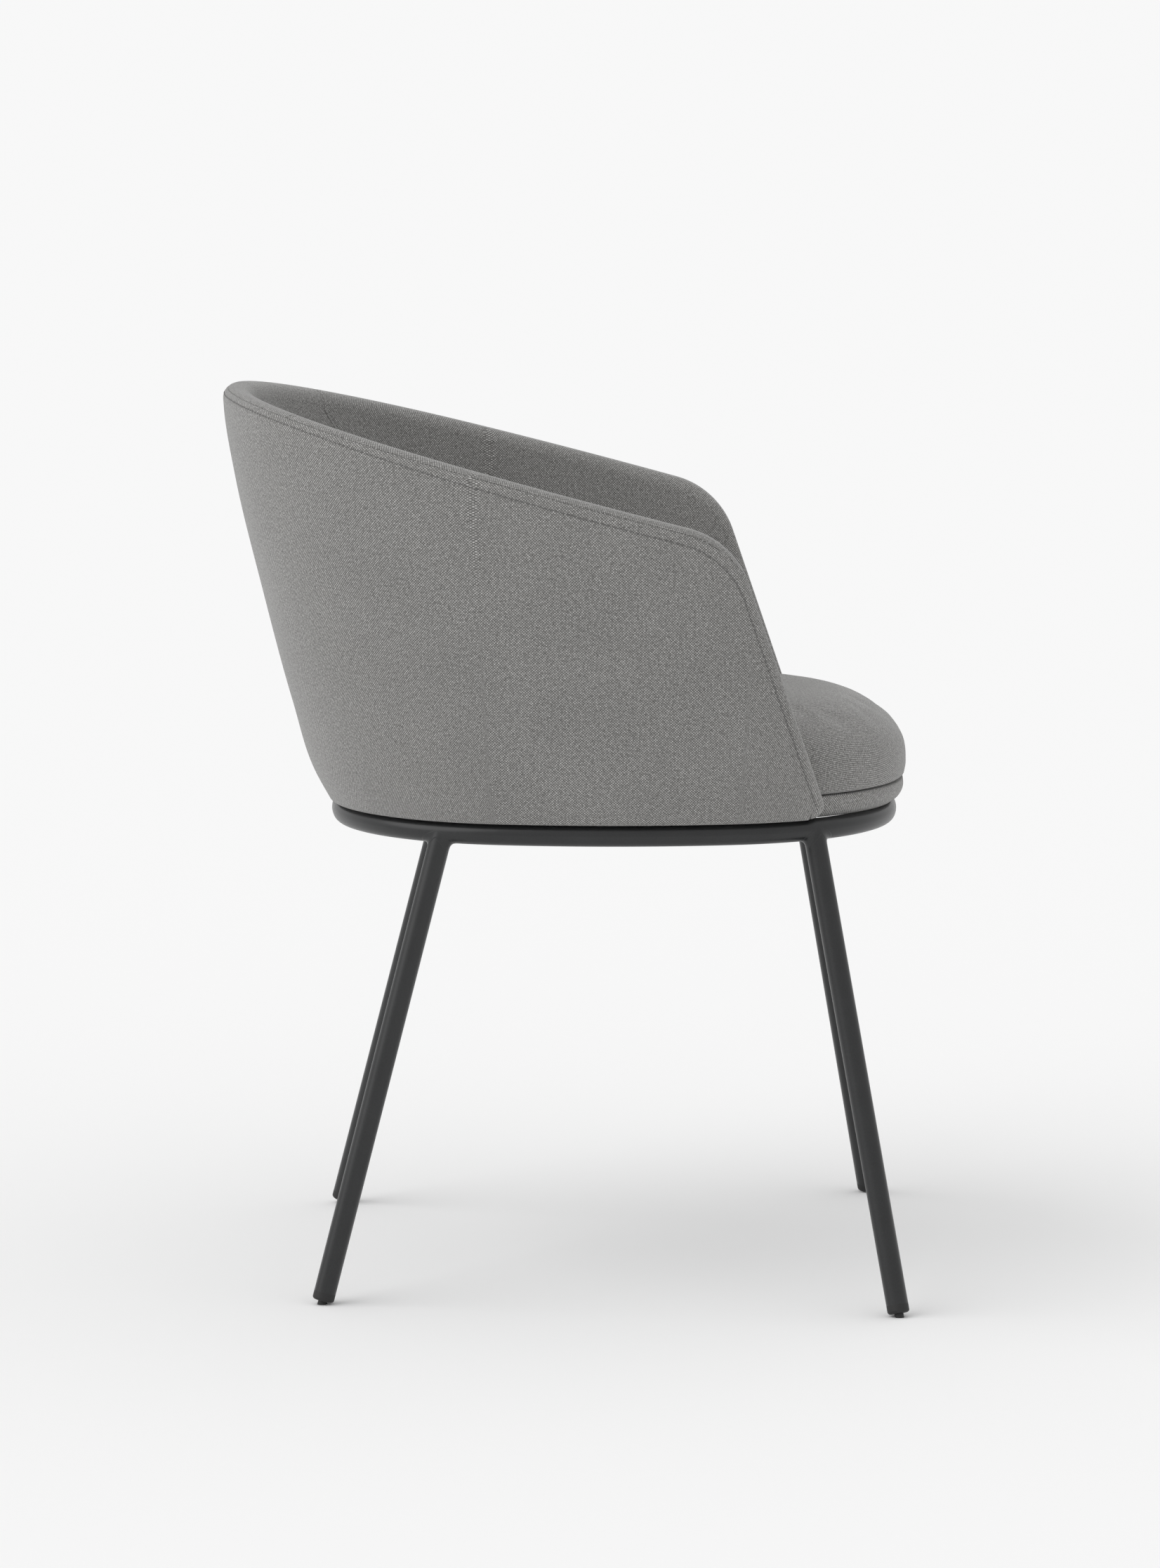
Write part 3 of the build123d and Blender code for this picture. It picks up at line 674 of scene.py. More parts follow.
@dataclass(frozen=True)
class WovenMelange:
    """Polyester and wool yarn of mixed greys in a plain weave laid on the bias.

    Up close it shows raised dots in diagonal rows over a darker ground, with short dark and
    light stretches of yarn. The darker ground and the brighter dots are painted shade and
    painted highlight, worked out from the weave's relief. From further off it is a soft, even
    grey with a fine grain.
    """

    name: str
    dark: str
    middle: str
    light: str
    thread: float = 1.7 * MM
    slub_length: float = 3.4 * MM
    cloud: float = 60 * MM

    def material(self) -> bpy.types.Material:
        """Build the material."""
        material, tree = new_tree(self.name)
        straight = add_node(tree, "ShaderNodeUVMap", {"uv_map": "weave"}).outputs[0]
        place = add_node(
            tree, "ShaderNodeMapping", {"Rotation": (0.0, 0.0, pi / 4)}, {"Vector": straight}
        ).outputs[0]
        band = 0.31416 / self.thread  # one thread is one band of the wave texture
        warp, weft = (
            add_node(
                tree,
                "ShaderNodeTexWave",
                {"wave_type": "BANDS", "bands_direction": way, "Scale": band, "Distortion": 0.9,
                 "Detail": 1.0, "Detail Scale": 0.6},
                {"Vector": place},
            ).outputs["Fac"]
            for way in "XY"
        )
        over = add_node(
            tree, "ShaderNodeTexChecker", {"Scale": 1 / self.thread}, {"Vector": place}
        ).outputs["Fac"]
        height = add_node(
            tree, "ShaderNodeMath", {"operation": "MULTIPLY"}, {0: warp, 1: weft}
        ).outputs[0]

        yarns = []
        for stretch in ((1.0, 3.0, 1.0), (3.0, 1.0, 1.0)):
            lay = add_node(
                tree, "ShaderNodeMapping", {"Scale": stretch}, {"Vector": place}
            ).outputs[0]
            yarns.append(
                add_node(
                    tree,
                    "ShaderNodeTexNoise",
                    {"Scale": 1 / self.slub_length, "Detail": 2.5, "Roughness": 0.65},
                    {"Vector": lay},
                ).outputs["Fac"]
            )
        yarn = add_node(tree, "ShaderNodeMix", {}, {0: over, 2: yarns[1], 3: yarns[0]}).outputs[0]
        shade = add_node(tree, "ShaderNodeValToRGB", {}, {"Fac": yarn})
        ramp = shade.color_ramp
        ramp.elements[0].position = 0.30
        ramp.elements[0].color = linear(self.dark)
        ramp.elements[1].position = 0.68
        ramp.elements[1].color = linear(self.light)
        ramp.elements.new(0.49).color = linear(self.middle)
        cloud = add_node(
            tree, "ShaderNodeTexNoise", {"Scale": 1 / self.cloud, "Detail": 1.0}, {"Vector": place}
        ).outputs["Fac"]
        cloud_share = add_node(
            tree, "ShaderNodeMapRange", {"To Min": 0.93, "To Max": 1.06}, {"Value": cloud}
        ).outputs[0]
        # Painted shade and highlight: the weave's relief darkens the colour in its hollows, down
        # to half, and brightens it on the raised dots.
        painted_weave_shade = add_node(
            tree, "ShaderNodeMapRange", {"From Max": 0.7, "To Min": 0.5, "To Max": 1.62},
            {"Value": height},
        ).outputs[0]
        # The random cloud tone times the painted shade of the weave.
        gain = add_node(
            tree, "ShaderNodeMath", {"operation": "MULTIPLY"}, {0: cloud_share, 1: painted_weave_shade}
        ).outputs[0]
        colour = add_node(
            tree, "ShaderNodeVectorMath", {"operation": "SCALE"},
            {0: shade.outputs["Color"], "Scale": gain},
        ).outputs[0]
        fuzz = add_node(
            tree, "ShaderNodeTexNoise", {"Scale": 1 / (0.5 * MM), "Detail": 2.0}, {"Vector": place}
        ).outputs["Fac"]
        relief = add_node(
            tree, "ShaderNodeMath", {"operation": "MULTIPLY_ADD", 1: 0.35}, {0: fuzz, 2: height}
        ).outputs[0]
        bump = add_node(
            tree, "ShaderNodeBump", {"Strength": 0.7, "Distance": 0.35 * MM}, {"Height": relief}
        ).outputs[0]
        shader = add_node(
            tree,
            "ShaderNodeBsdfPrincipled",
            {"Roughness": 0.92, "IOR": 1.5, "Specular IOR Level": 0.22, "Sheen Weight": 0.35,
             "Sheen Roughness": 0.45},
            {"Base Color": colour, "Normal": bump},
        )
        close_tree(tree, shader)
        return material


@dataclass(frozen=True)
class GrainedFinish:
    """A surface with one base colour, a fine grain in it and a matching relief.

    Powder coat shows a faint orange peel with soft highlights, moulded nylon a finer and
    duller one, and plated steel a thin brushed grain.
    """

    name: str
    low: str
    high: str
    grain: float
    roughness: tuple[float, float]
    relief: float
    metallic: float = 0.0
    ior: float | None = 1.5
    coat: float = 0.0
    stretch: Grain = Grain.EVEN
    sheen: float = 0.0

    def material(self) -> bpy.types.Material:
        """Build the material."""
        material, tree = new_tree(self.name)
        place = add_node(tree, "ShaderNodeTexCoord").outputs["Object"]
        lay = add_node(
            tree, "ShaderNodeMapping", {"Scale": self.stretch.value}, {"Vector": place}
        ).outputs[0]
        grain = add_node(
            tree,
            "ShaderNodeTexNoise",
            {"Scale": 1 / self.grain, "Detail": 3.0, "Roughness": 0.55},
            {"Vector": lay},
        ).outputs["Fac"]
        patch = add_node(
            tree, "ShaderNodeTexNoise", {"Scale": 1 / (25 * MM), "Detail": 2.0}, {"Vector": lay}
        ).outputs["Fac"]
        mixed = add_node(
            tree, "ShaderNodeMath", {"operation": "MULTIPLY_ADD", 1: 0.5}, {0: patch, 2: grain}
        ).outputs[0]
        shade = add_node(tree, "ShaderNodeValToRGB", {}, {"Fac": mixed})
        shade.color_ramp.elements[0].position = 0.45
        shade.color_ramp.elements[0].color = linear(self.low)
        shade.color_ramp.elements[1].position = 1.0
        shade.color_ramp.elements[1].color = linear(self.high)
        rough = add_node(
            tree,
            "ShaderNodeMapRange",
            {
                "From Min": 0.3,
                "From Max": 0.7,
                "To Min": self.roughness[0],
                "To Max": self.roughness[1],
            },
            {"Value": grain},
        ).outputs[0]
        bump = add_node(
            tree, "ShaderNodeBump", {"Strength": 0.5, "Distance": self.relief}, {"Height": grain}
        ).outputs[0]
        settings = {
            "Metallic": self.metallic,
            "Coat Weight": self.coat,
            "Sheen Weight": self.sheen,
        }
        if self.ior is not None:
            settings["IOR"] = self.ior
        shader = add_node(
            tree,
            "ShaderNodeBsdfPrincipled",
            settings,
            {"Base Color": shade.outputs["Color"], "Roughness": rough, "Normal": bump},
        )
        close_tree(tree, shader)
        return material


@dataclass(frozen=True)
class Finishes:
    """Every finish of the chair, built once."""

    fabric: bpy.types.Material
    thread: bpy.types.Material
    powder: bpy.types.Material
    nylon: bpy.types.Material
    zinc: bpy.types.Material
    plywood: bpy.types.Material
    foam: bpy.types.Material
    dust_cloth: bpy.types.Material

    @staticmethod
    def make() -> Finishes:
        """Build the finishes."""
        return Finishes(
            fabric=WovenMelange("woven_melange_fabric", "5e5d5b", "8a8987", "aeadab").material(),
            # Twisted polyester sewing thread, a little darker than the cloth.
            thread=GrainedFinish(
                "polyester_thread", "5b5a59", "6e6d6c", 0.4 * MM, (0.6, 0.8), 0.05 * MM, sheen=0.2
            ).material(),
            # Baked powder: satin black with a faint orange peel, drawn at 1.2 mm so that it shows.
            powder=GrainedFinish(
                "powder_coated_steel", "131415", "202122", 1.2 * MM,
                (0.30, 0.38), 0.03 * MM, coat=0.05
            ).material(),
            # Moulded nylon: duller than the powder coat, with a fine spark-eroded grain.
            nylon=GrainedFinish(
                "moulded_nylon", "161616", "202020", 0.6 * MM, (0.5, 0.62), 0.03 * MM
            ).material(),
            # Zinc plate over steel: bright, slightly cloudy.
            zinc=GrainedFinish(
                "zinc_plated_steel", "9a9b9a", "c4c5c2", 1.5 * MM, (0.28, 0.42), 0.01 * MM,
                metallic=1.0, ior=None,
            ).material(),
            # Beech plywood: pale, with long pores along the face grain.
            plywood=GrainedFinish(
                "beech_plywood", "a98557", "d3b98c", 2.5 * MM, (0.55, 0.7), 0.05 * MM,
                stretch=Grain.ALONG_X,
            ).material(),
            # Cut polyurethane foam: cream, with open cells of about a millimetre.
            foam=GrainedFinish(
                "cut_polyurethane_foam", "c9bf9c", "e6dfc4", 1.0 * MM, (0.9, 1.0), 0.3 * MM
            ).material(),
            # Spun-bonded dust cloth: matt black, with a felted speckle.
            dust_cloth=GrainedFinish(
                "spun_bonded_cloth", "141415", "232324", 0.8 * MM,
                (0.85, 0.95), 0.08 * MM, sheen=0.15
            ).material(),
        )


def dress(node: bpy.types.Object, material: bpy.types.Material) -> None:
    """Put a material on every slot of a carried-over node.

    Args:
        node: The node.
        material: Its finish.
    """
    if not node.material_slots:
        node.data.materials.append(material)
    for slot in node.material_slots:
        slot.material = material


def place_piece(
    piece: bpy.types.Object, material: bpy.types.Material
) -> bpy.types.Object:
    """Give a new piece its material and the body that it rides on.

    Args:
        piece: The new piece.
        material: Its finish.

    Returns:
        The same piece.
    """
    piece.data.materials.append(material)
    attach(piece, "root")
    LOG.info("%s: %d points", piece.name, len(piece.data.vertices))
    return piece


# ---------------------------------------------------------------- the tub


class Lining(Enum):
    """The three panels inside the tub, by the frame node that each stands for."""

    LEFT = "inner_cover_left"
    CENTRE = "inner_cover_centre"
    RIGHT = "inner_cover_right"


# Millimetres from a seam or a row of stitches, at which the cloth's grids have their own rows.
PANEL_SEAM_ROWS = (
    -7, -6.4, -5.8, -5.2, -4, -2.2, -1.5, -1, -0.6, -0.3, 0, 0.3, 0.6, 1, 1.5, 2.2, 3.5
)
STITCH_ROWS = (-2.4, -1.6, -1.1, -0.7, -0.35, 0, 0.35, 0.7, 1.1, 1.6, 2.4)
SEAM_ROWS = (0.0, 0.05, 0.14, 0.3, 0.5, 0.75, 0.95, 1.1)


@dataclass
class Tub:
    """The upholstered back and arms: outside panel, lining panels, edge seam and stitches."""

    finishes: Finishes
    wall: TubWall = field(default_factory=TubWall)
    spacing: float = 3.0 * MM
    # Millimetres at the arm's front edge, along the rim's sides, and at the back.
    edge_strip: tuple[float, float, float] = (10.0, 16.0, 16.0)
    outer_round: tuple[float, float, float] = (6.5, 13.0, 13.5)
    inner_round: tuple[float, float, float] = (5.5, 12.0, 12.0)
    stitch_from_edge: tuple[float, float, float] = (-1.5, -0.6, 4.0)
    seam_from_edge: tuple[float, float, float] = (11.5, 9.0, 9.8)
    lip: float = 1.1 * MM
    foot: float = 414.6 * MM
    foot_round: float = 3.0 * MM
    foot_fold: float = 11 * MM
    lining_foot: float = 436.0 * MM
    tuck: float = 1.5 * MM
    dimple_depth: float = 0.55 * MM
    dimple_reach: float = 0.9 * MM
    padding_swell: float = 0.7 * MM
    seam_x: float = 168 * MM
    seam_stitch: float = 5.8 * MM
    seam_clear: float = 7.5 * MM  # even stations stay this far from the upright seam
    seam_band: float = 1.3 * MM  # the grids are finer up to here from the edge seam
    seam_bend: int = 3  # how early the upright seam slants: higher is nearer the rim
    # Where the arm's corner and the back begin, and how far the change to each goes on.
    corner_from: float = 610 * MM
    corner_over: float = 60 * MM
    back_from: float = radians(-5)
    back_over: float = radians(60)
    foot_rise: float = radians(8)  # over which the lining's foot climbs on to the seat
    most_rounded: float = 0.92  # of the wall's thickness
    stitch_first: int = 8  # stations above the arm's foot where the stitches start
    stitch_pitch: float = 5.0 * MM
    stitch_length: float = 3.9 * MM
    stitch_sink: float = 0.3 * MM
    thread_radius: float = 0.35 * MM
    strip_rows: int = 7
    arc_steps: int = 12
    top_rows: int = 8
    edge_rows: int = 34
    seam_foot_angle: float = radians(38)
    curve_steps: int = 500
    patch_rows: int = 70
    offset_steps: int = 12

    def __post_init__(self) -> None:
        """Work out the edge's stations once."""
        steps = self.curve_steps
        outer_angle, outer_z = self.wall.edge_curve(False, steps)
        inner_angle, inner_z = self.wall.edge_curve(True, steps)
        length = running_length(self.wall.face(outer_angle, outer_z, False))
        inner = self.wall.face(inner_angle, inner_z, True)
        seam_at = length[np.argmax(np.abs(inner[:, 0]) < self.seam_x)]
        even = np.linspace(0, length[-1], int(length[-1] / self.spacing) + 1)
        near = seam_at + np.array(PANEL_SEAM_ROWS) * MM
        far_from_seam = np.abs(even - seam_at) > self.seam_clear
        stations = np.sort(np.concatenate([even[far_from_seam], near]))
        self.seam_at = seam_at
        self.seam_index = int(np.argmin(np.abs(stations - seam_at)))
        index = np.interp(stations, length, np.arange(len(length)))
        along = np.arange(len(length))
        self.stations = stations
        self.oa = np.interp(index, along, outer_angle)
        self.oz = np.interp(index, along, outer_z)
        self.ia = np.interp(index, along, inner_angle)
        self.iz = np.interp(index, along, inner_z)
        self.rim_start = int(np.searchsorted(index, steps))
        self.rim_share = blend(0.0, 1.0, (self.oz - self.corner_from) / self.corner_over)
        self.back_share = blend(0.0, 1.0, (self.oa - self.back_from) / self.back_over)
        self.strip = self.along_edge(self.edge_strip)

    def along_edge(self, values: tuple[float, float, float]) -> np.ndarray:
        """Blend a size along the edge.

        Args:
            values: Millimetres at the arm's front edge, the rim's side and the back.

        Returns:
            Metres at every station.
        """
        arm, side, back = values
        return (arm + (side - arm) * self.rim_share + (back - side) * self.back_share) * MM

    def foot_angles(self, top_angle: np.ndarray, inner: bool) -> np.ndarray:
        """Angles of the stations along a face's foot.

        The arm's stations spread out evenly, and the lining's seams slant towards the sides.

        Args:
            top_angle: Angles of the stations below the edge strip.
            inner: Which face.

        Returns:
            One angle for each station.
        """
        start = self.rim_start
        share = np.clip(self.stations / self.stations[start], 0, 1)
        arm = top_angle[0] + (top_angle[start] - top_angle[0]) * share
        rim = top_angle
        if inner:
            knots = np.array([top_angle[start], top_angle[self.seam_index], pi / 2])
            rim = np.interp(top_angle, knots, [knots[0], self.seam_foot_angle, knots[2]])
        return np.where(np.arange(len(share)) > start, rim, arm)

    def face_offset(
        self, angle: np.ndarray, z: np.ndarray, inner: bool, distance: float | np.ndarray
    ) -> tuple[np.ndarray, np.ndarray]:
        """Move from the edge curve into a face, square to the curve.

        Args:
            angle: The curve's angles.
            z: The curve's heights.
            inner: Which face.
            distance: How far to move, for all stations or for each.

        Returns:
            New angles and heights.
        """
        by_angle, by_z = self.face_slopes(angle, z, inner)
        here = self.wall.face(angle, z, inner)
        ahead = unit(np.gradient(here, axis=0))
        ahead[-1] = [-1.0, 0.0, 0.0]
        inward = np.cross(ahead, unit(np.cross(by_angle, by_z)))
        step = distance / self.offset_steps
        for _ in range(self.offset_steps):
            by_angle, by_z = self.face_slopes(angle, z, inner)
            aa = np.sum(by_angle * by_angle, axis=1)
            zz = np.sum(by_z * by_z, axis=1)
            az = np.sum(by_angle * by_z, axis=1)
            pa = np.sum(inward * by_angle, axis=1)
            pz = np.sum(inward * by_z, axis=1)
            det = aa * zz - az * az
            angle = angle + step * (pa * zz - pz * az) / det
            z = z + step * (pz * aa - pa * az) / det
        return angle, z

    def face_slopes(
        self, angle: np.ndarray, z: np.ndarray, inner: bool
    ) -> tuple[np.ndarray, np.ndarray]:
        """How a face's point moves with its angle and with its height.

        Args:
            angle: Angles of the normal.
            z: Heights.
            inner: Which face.

        Returns:
            Its movement for each radian, and for each metre of height.
        """
        small = 1e-5
        by_angle = self.wall.face(angle + small, z, inner)
        by_angle = by_angle - self.wall.face(angle - small, z, inner)
        by_z = self.wall.face(angle, z + small, inner) - self.wall.face(angle, z - small, inner)
        return by_angle / (2 * small), by_z / (2 * small)

    def weave_at(self, angle: np.ndarray, z: np.ndarray) -> np.ndarray:
        """Fabric coordinates of a place on the wall, in metres."""
        table = np.radians(np.linspace(-90, 90, 361))
        girth = running_length(self.wall.face(table, np.full(361, 0.6), False))
        return np.stack([np.interp(angle, table, girth), np.asarray(z) * 1.04], axis=-1)

    def sections(self) -> None:
        """Cut the rolled edge at every station, from the outer face round to the inner face."""
        wall = self.wall
        outer = wall.face(self.oa, self.oz, False)
        inner = wall.face(self.ia, self.iz, True)
        across = unit(inner - outer)
        width = np.linalg.norm(inner - outer, axis=1)
        reach_out = self.along_edge(self.outer_round)
        reach_in = self.along_edge(self.inner_round)
        shrink = np.minimum(1.0, self.most_rounded * width / (reach_out + reach_in))
        reach_out = reach_out * shrink
        reach_in = reach_in * shrink
        shares = np.linspace(1, 0, self.strip_rows)
        outer_rows = []
        inner_rows = []
        outer_weave = []
        inner_weave = []
        for share in shares:
            step = reach_out + (self.strip - reach_out) * share
            angle, z = self.face_offset(self.oa, self.oz, False, step)
            outer_rows.append(wall.face(angle, z, False))
            outer_weave.append(self.weave_at(angle, z))
            step = reach_in + (self.strip - reach_in) * share
            angle, z = self.face_offset(self.ia, self.iz, True, step)
            inner_rows.append(wall.face(angle, z, True))
            inner_weave.append(self.weave_at(angle, z))
        top_start = outer + across * reach_out[:, None]
        top_end = inner - across * reach_in[:, None]
        outer_arc = round_corner(outer_rows[-1], outer, top_start, self.arc_steps)
        inner_arc = round_corner(top_end, inner, inner_rows[-1], self.arc_steps)
        top_shares = np.linspace(0, 1, self.top_rows)[1:-1]
        ahead = unit(np.gradient(outer, axis=0))
        ahead[-1] = [-1.0, 0.0, 0.0]
        top = [top_start + (top_end - top_start) * s for s in top_shares]
        rows = outer_rows[:-1] + list(outer_arc.swapaxes(0, 1)) + top
        rows += list(inner_arc.swapaxes(0, 1)) + inner_rows[::-1][1:]
        self.section = np.stack(rows, axis=1)
        self.section_ahead = ahead
        steps = np.linalg.norm(np.diff(self.section, axis=1), axis=2)
        run = np.concatenate([np.zeros((len(steps), 1)), np.cumsum(steps, axis=1)], axis=1)
        start = self.strip_rows - 1
        self.section_run = run - run[:, start : start + 1]
        self.outer_edge_weave = outer_weave
        self.inner_edge_weave = inner_weave

    def along_section(self, run: np.ndarray) -> tuple[np.ndarray, np.ndarray, np.ndarray]:
        """Points at given lengths along every section.

        Args:
            run: Stations by rows, length from the start of the outer rounding.

        Returns:
            Points, outward directions and fabric coordinates.
        """
        points = np.empty(run.shape + (3,))
        tangents = np.empty(run.shape + (3,))
        small = 0.5 * MM
        for j, lengths in enumerate(self.section_run):
            for k in range(3):
                places = self.section[j, :, k]
                before, here, after = (
                    np.interp(run[j] + way, lengths, places) for way in (-small, 0, small)
                )
                points[j, :, k] = here
                tangents[j, :, k] = after - before
        outward = unit(np.cross(self.section_ahead[:, None, :], unit(tangents)))
        return points, outward, self.section_weave(run)

    def section_weave(self, run: np.ndarray) -> np.ndarray:
        """Fabric coordinates along the sections, straight on from the nearer face.

        Args:
            run: Stations by rows, length from the start of the outer rounding.

        Returns:
            Coordinates in metres.
        """
        end = self.section_run[:, -1:]
        start_uv, near_uv = self.outer_edge_weave[0], self.outer_edge_weave[-1]
        outer_way = unit(near_uv - start_uv)
        from_start = (run - self.section_run[:, :1])[..., None]
        outer_uv = start_uv[:, None] + outer_way[:, None] * from_start
        start_uv, near_uv = self.inner_edge_weave[0], self.inner_edge_weave[-1]
        inner_way = unit(near_uv - start_uv)
        inner_uv = start_uv[:, None] + inner_way[:, None] * (end - run)[..., None]
        return np.where((run > self.seam_run()[:, None])[..., None], inner_uv, outer_uv)

    def seam_run(self) -> np.ndarray:
        """Where the seam between outside and lining sits on each section."""
        return self.along_edge(self.seam_from_edge)

    def stitch_run(self) -> np.ndarray:
        """Where the topstitch sits on each section."""
        return self.along_edge(self.stitch_from_edge)

    def lip_depth(self, distance: np.ndarray) -> np.ndarray:
        """How far a cloth's edge rolls in at a distance from its seam."""
        near = np.clip(self.lip - np.abs(distance), 0, self.lip)
        return self.lip - np.sqrt(self.lip**2 - near**2)

    def dimple(self, distance: np.ndarray) -> np.ndarray:
        """How far a row of stitches pulls the cloth in at a distance from it."""
        return self.dimple_depth * np.exp(-((distance / self.dimple_reach) ** 2))

    def panel_seam_depth(self) -> np.ndarray:
        """How far the lining's upright seam and its stitches pull in at each station."""
        away = self.stations - self.seam_at
        return self.lip_depth(away) + self.dimple(away + self.seam_stitch)

    def patch(self, inner: bool) -> tuple[np.ndarray, np.ndarray, np.ndarray, np.ndarray]:
        """Fill a face between its edge strip and its foot.

        Args:
            inner: Which face.

        Returns:
            Points, outward directions, fabric coordinates, and how far down each row is.
        """
        angle = self.ia if inner else self.oa
        z = self.iz if inner else self.oz
        top_angle, top_z = self.face_offset(angle, z, inner, self.strip)
        foot_angle = self.foot_angles(top_angle, inner)
        foot_z = np.full(len(angle), top_z[0])
        if inner:
            foot_share = (foot_angle - foot_angle[0]) / self.foot_rise
            foot_z = blend(top_z[0], self.lining_foot, foot_share)
        down = np.linspace(0, 1, self.patch_rows) ** 0.9
        bent = 1 - (1 - down) ** self.seam_bend
        slant = np.where(np.arange(len(angle))[:, None] > self.rim_start, bent, down)
        angles = top_angle[:, None] + (foot_angle - top_angle)[:, None] * slant
        heights = top_z[:, None] + (foot_z - top_z)[:, None] * down
        flat_angle = angles.ravel()
        flat_z = heights.ravel()
        points = self.wall.face(flat_angle, flat_z, inner)
        by_angle, by_z = self.face_slopes(flat_angle, flat_z, inner)
        outward = unit(np.cross(by_angle, by_z)) * (-1 if inner else 1)
        shape = angles.shape
        return (
            points.reshape(shape + (3,)),
            outward.reshape(shape + (3,)),
            self.weave_at(flat_angle, flat_z).reshape(shape + (2,)),
            down,
        )

    def add_both(self, sheet: Sheet, points: np.ndarray, weave: np.ndarray, flip: bool) -> None:
        """Add a grid and its mirror image across the middle of the chair."""
        sheet.grid(points, weave, flip)
        sheet.grid(points * [-1, 1, 1], weave * [-1, 1], not flip)

    def outside_panel(self) -> bpy.types.Object:
        """Build the outside cloth, from the seam at the rim down to the fold at the foot."""
        seam = self.seam_run()[:, None]
        stitch = self.stitch_run()[:, None]
        start = self.section_run[:, :1]
        near_stitch = np.array(STITCH_ROWS) * MM
        near_seam = np.array(SEAM_ROWS[::-1]) * MM
        first = stitch + near_stitch[0]
        last = stitch + near_stitch[-1]
        rows = [start + (first - start) * s for s in np.linspace(0, 1, 5)[:-1]]
        rows += [stitch + step for step in near_stitch]
        rows += [last + (seam - self.seam_band - last) * s for s in np.linspace(0, 1, 9)[1:]]
        rows += [seam - step for step in near_seam]
        run = np.concatenate(rows, axis=1)
        points, outward, weave = self.along_section(run)
        depth = self.dimple(run - stitch) + self.lip_depth(seam - run)
        points = points - outward * depth[..., None]
        tuck = points[:, -1:] - outward[:, -1:] * self.tuck
        points = np.concatenate([points, tuck], axis=1)
        weave = np.concatenate([weave, weave[:, -1:]], axis=1)
        sheet = Sheet()
        self.add_both(sheet, points, weave, True)

        face, _, weave, _ = self.patch(False)
        self.add_both(sheet, face, weave, False)
        self.add_both(sheet, *self.foot_strip(face[:, -1], weave[:, -1]), False)
        self.stitch_line = self.along_section(stitch)
        return sheet.build("outer_cover_cloth")

    def foot_strip(self, top: np.ndarray, weave: np.ndarray) -> tuple[np.ndarray, np.ndarray]:
        """The outside cloth's last centimetre, its fold and the part turned under.

        Args:
            top: Points where the strip starts.
            weave: Their fabric coordinates.

        Returns:
            Points and fabric coordinates of the strip.
        """
        angle = self.foot_angles(self.face_offset(self.oa, self.oz, False, self.strip)[0], False)
        foot = np.full(len(angle), self.foot)
        low = self.wall.face(angle, foot, False)
        up = self.wall.face(angle, foot + self.foot_round, False)
        level = np.stack([np.cos(angle), np.sin(angle), np.zeros(len(angle))], axis=1)
        under = low - level * self.foot_round
        fold = low - level * np.minimum(self.foot_fold, self.wall.thickness(angle, foot))[:, None]
        middle = (top + up) / 2
        arc = round_corner(up, low, under, 8)
        rows = [top, middle] + [arc[:, k] for k in range(9)] + [fold]
        points = np.stack(rows, axis=1)
        steps = np.linalg.norm(np.diff(points, axis=1), axis=2)
        run = np.concatenate([np.zeros((len(steps), 1)), np.cumsum(steps, axis=1)], axis=1)
        cloth = np.stack([np.broadcast_to(weave[:, :1], run.shape), weave[:, 1:] - run], axis=-1)
        return points, cloth

    def lining_grids(self) -> tuple[list[np.ndarray], list[np.ndarray]]:
        """The lining's rolled edge and its face, for the positive X half.

        Returns:
            The two grids, and their fabric coordinates.
        """
        seam = self.seam_run()[:, None]
        end = self.section_run[:, -1:]
        rows = [seam + step * MM for step in SEAM_ROWS]
        start = seam + self.seam_band
        rows += [start + (end - start) * s for s in np.linspace(0, 1, self.edge_rows)]
        run = np.concatenate(rows, axis=1)
        edge, outward, edge_weave = self.along_section(run)
        depth = self.lip_depth(run - seam) + self.panel_seam_depth()[:, None]
        edge = edge - outward * depth[..., None]
        tuck = edge[:, :1] - outward[:, :1] * self.tuck
        edge = np.concatenate([tuck, edge], axis=1)
        edge_weave = np.concatenate([edge_weave[:, :1], edge_weave], axis=1)

        face, outward, face_weave, down = self.patch(True)
        settle = np.minimum(1.0, down * 6)[None, :]
        waves = np.sin(face_weave[..., 0] * 47 + 1.3) * np.sin(face_weave[..., 1] * 39)
        raised = self.padding_swell * waves * settle - self.panel_seam_depth()[:, None]
        face = face + outward * raised[..., None]
        return [edge, face], [edge_weave, face_weave]

    def lining_panel(self, panel: Lining) -> bpy.types.Object:
        """Build one panel of the lining.

        Args:
            panel: Which one.

        Returns:
            The panel's mesh object.
        """
        grids, weaves = self.lining_grids()
        sheet = Sheet()
        for grid, weave in zip(grids, weaves):
            if panel is Lining.CENTRE:
                self.add_both(sheet, grid[self.seam_index :], weave[self.seam_index :], True)
                continue
            side = 1 if panel is Lining.RIGHT else -1
            part = grid[: self.seam_index + 1] * [side, 1, 1]
            sheet.grid(part, weave[: self.seam_index + 1] * [side, 1], side > 0)
        return sheet.build(panel.value + "_cloth")

    def build(self) -> None:
        """Build, dress and attach every piece of the tub."""
        self.sections()
        outside = place_piece(self.outside_panel(), self.finishes.fabric)
        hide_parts("outer_cover", "outer_foam")
        for panel in Lining:
            lining = place_piece(self.lining_panel(panel), self.finishes.fabric)
            hidden = [panel.value, "inner_foam"] if panel is Lining.CENTRE else [panel.value]
            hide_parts(*hidden)
        points, outward, _ = self.stitch_line
        outward = outward[self.stitch_first :, 0]
        half = points[self.stitch_first :, 0] - outward * self.stitch_sink
        path = np.concatenate([half * [-1, 1, 1], half[::-1][1:]])
        away = np.concatenate([outward * [-1, 1, 1], outward[::-1][1:]])
        stitches = thread_stitches(
            "edge_topstitch", path, away, self.stitch_pitch, self.stitch_length, self.thread_radius
        )
        place_piece(stitches, self.finishes.thread)


# ---------------------------------------------------------------- the seat


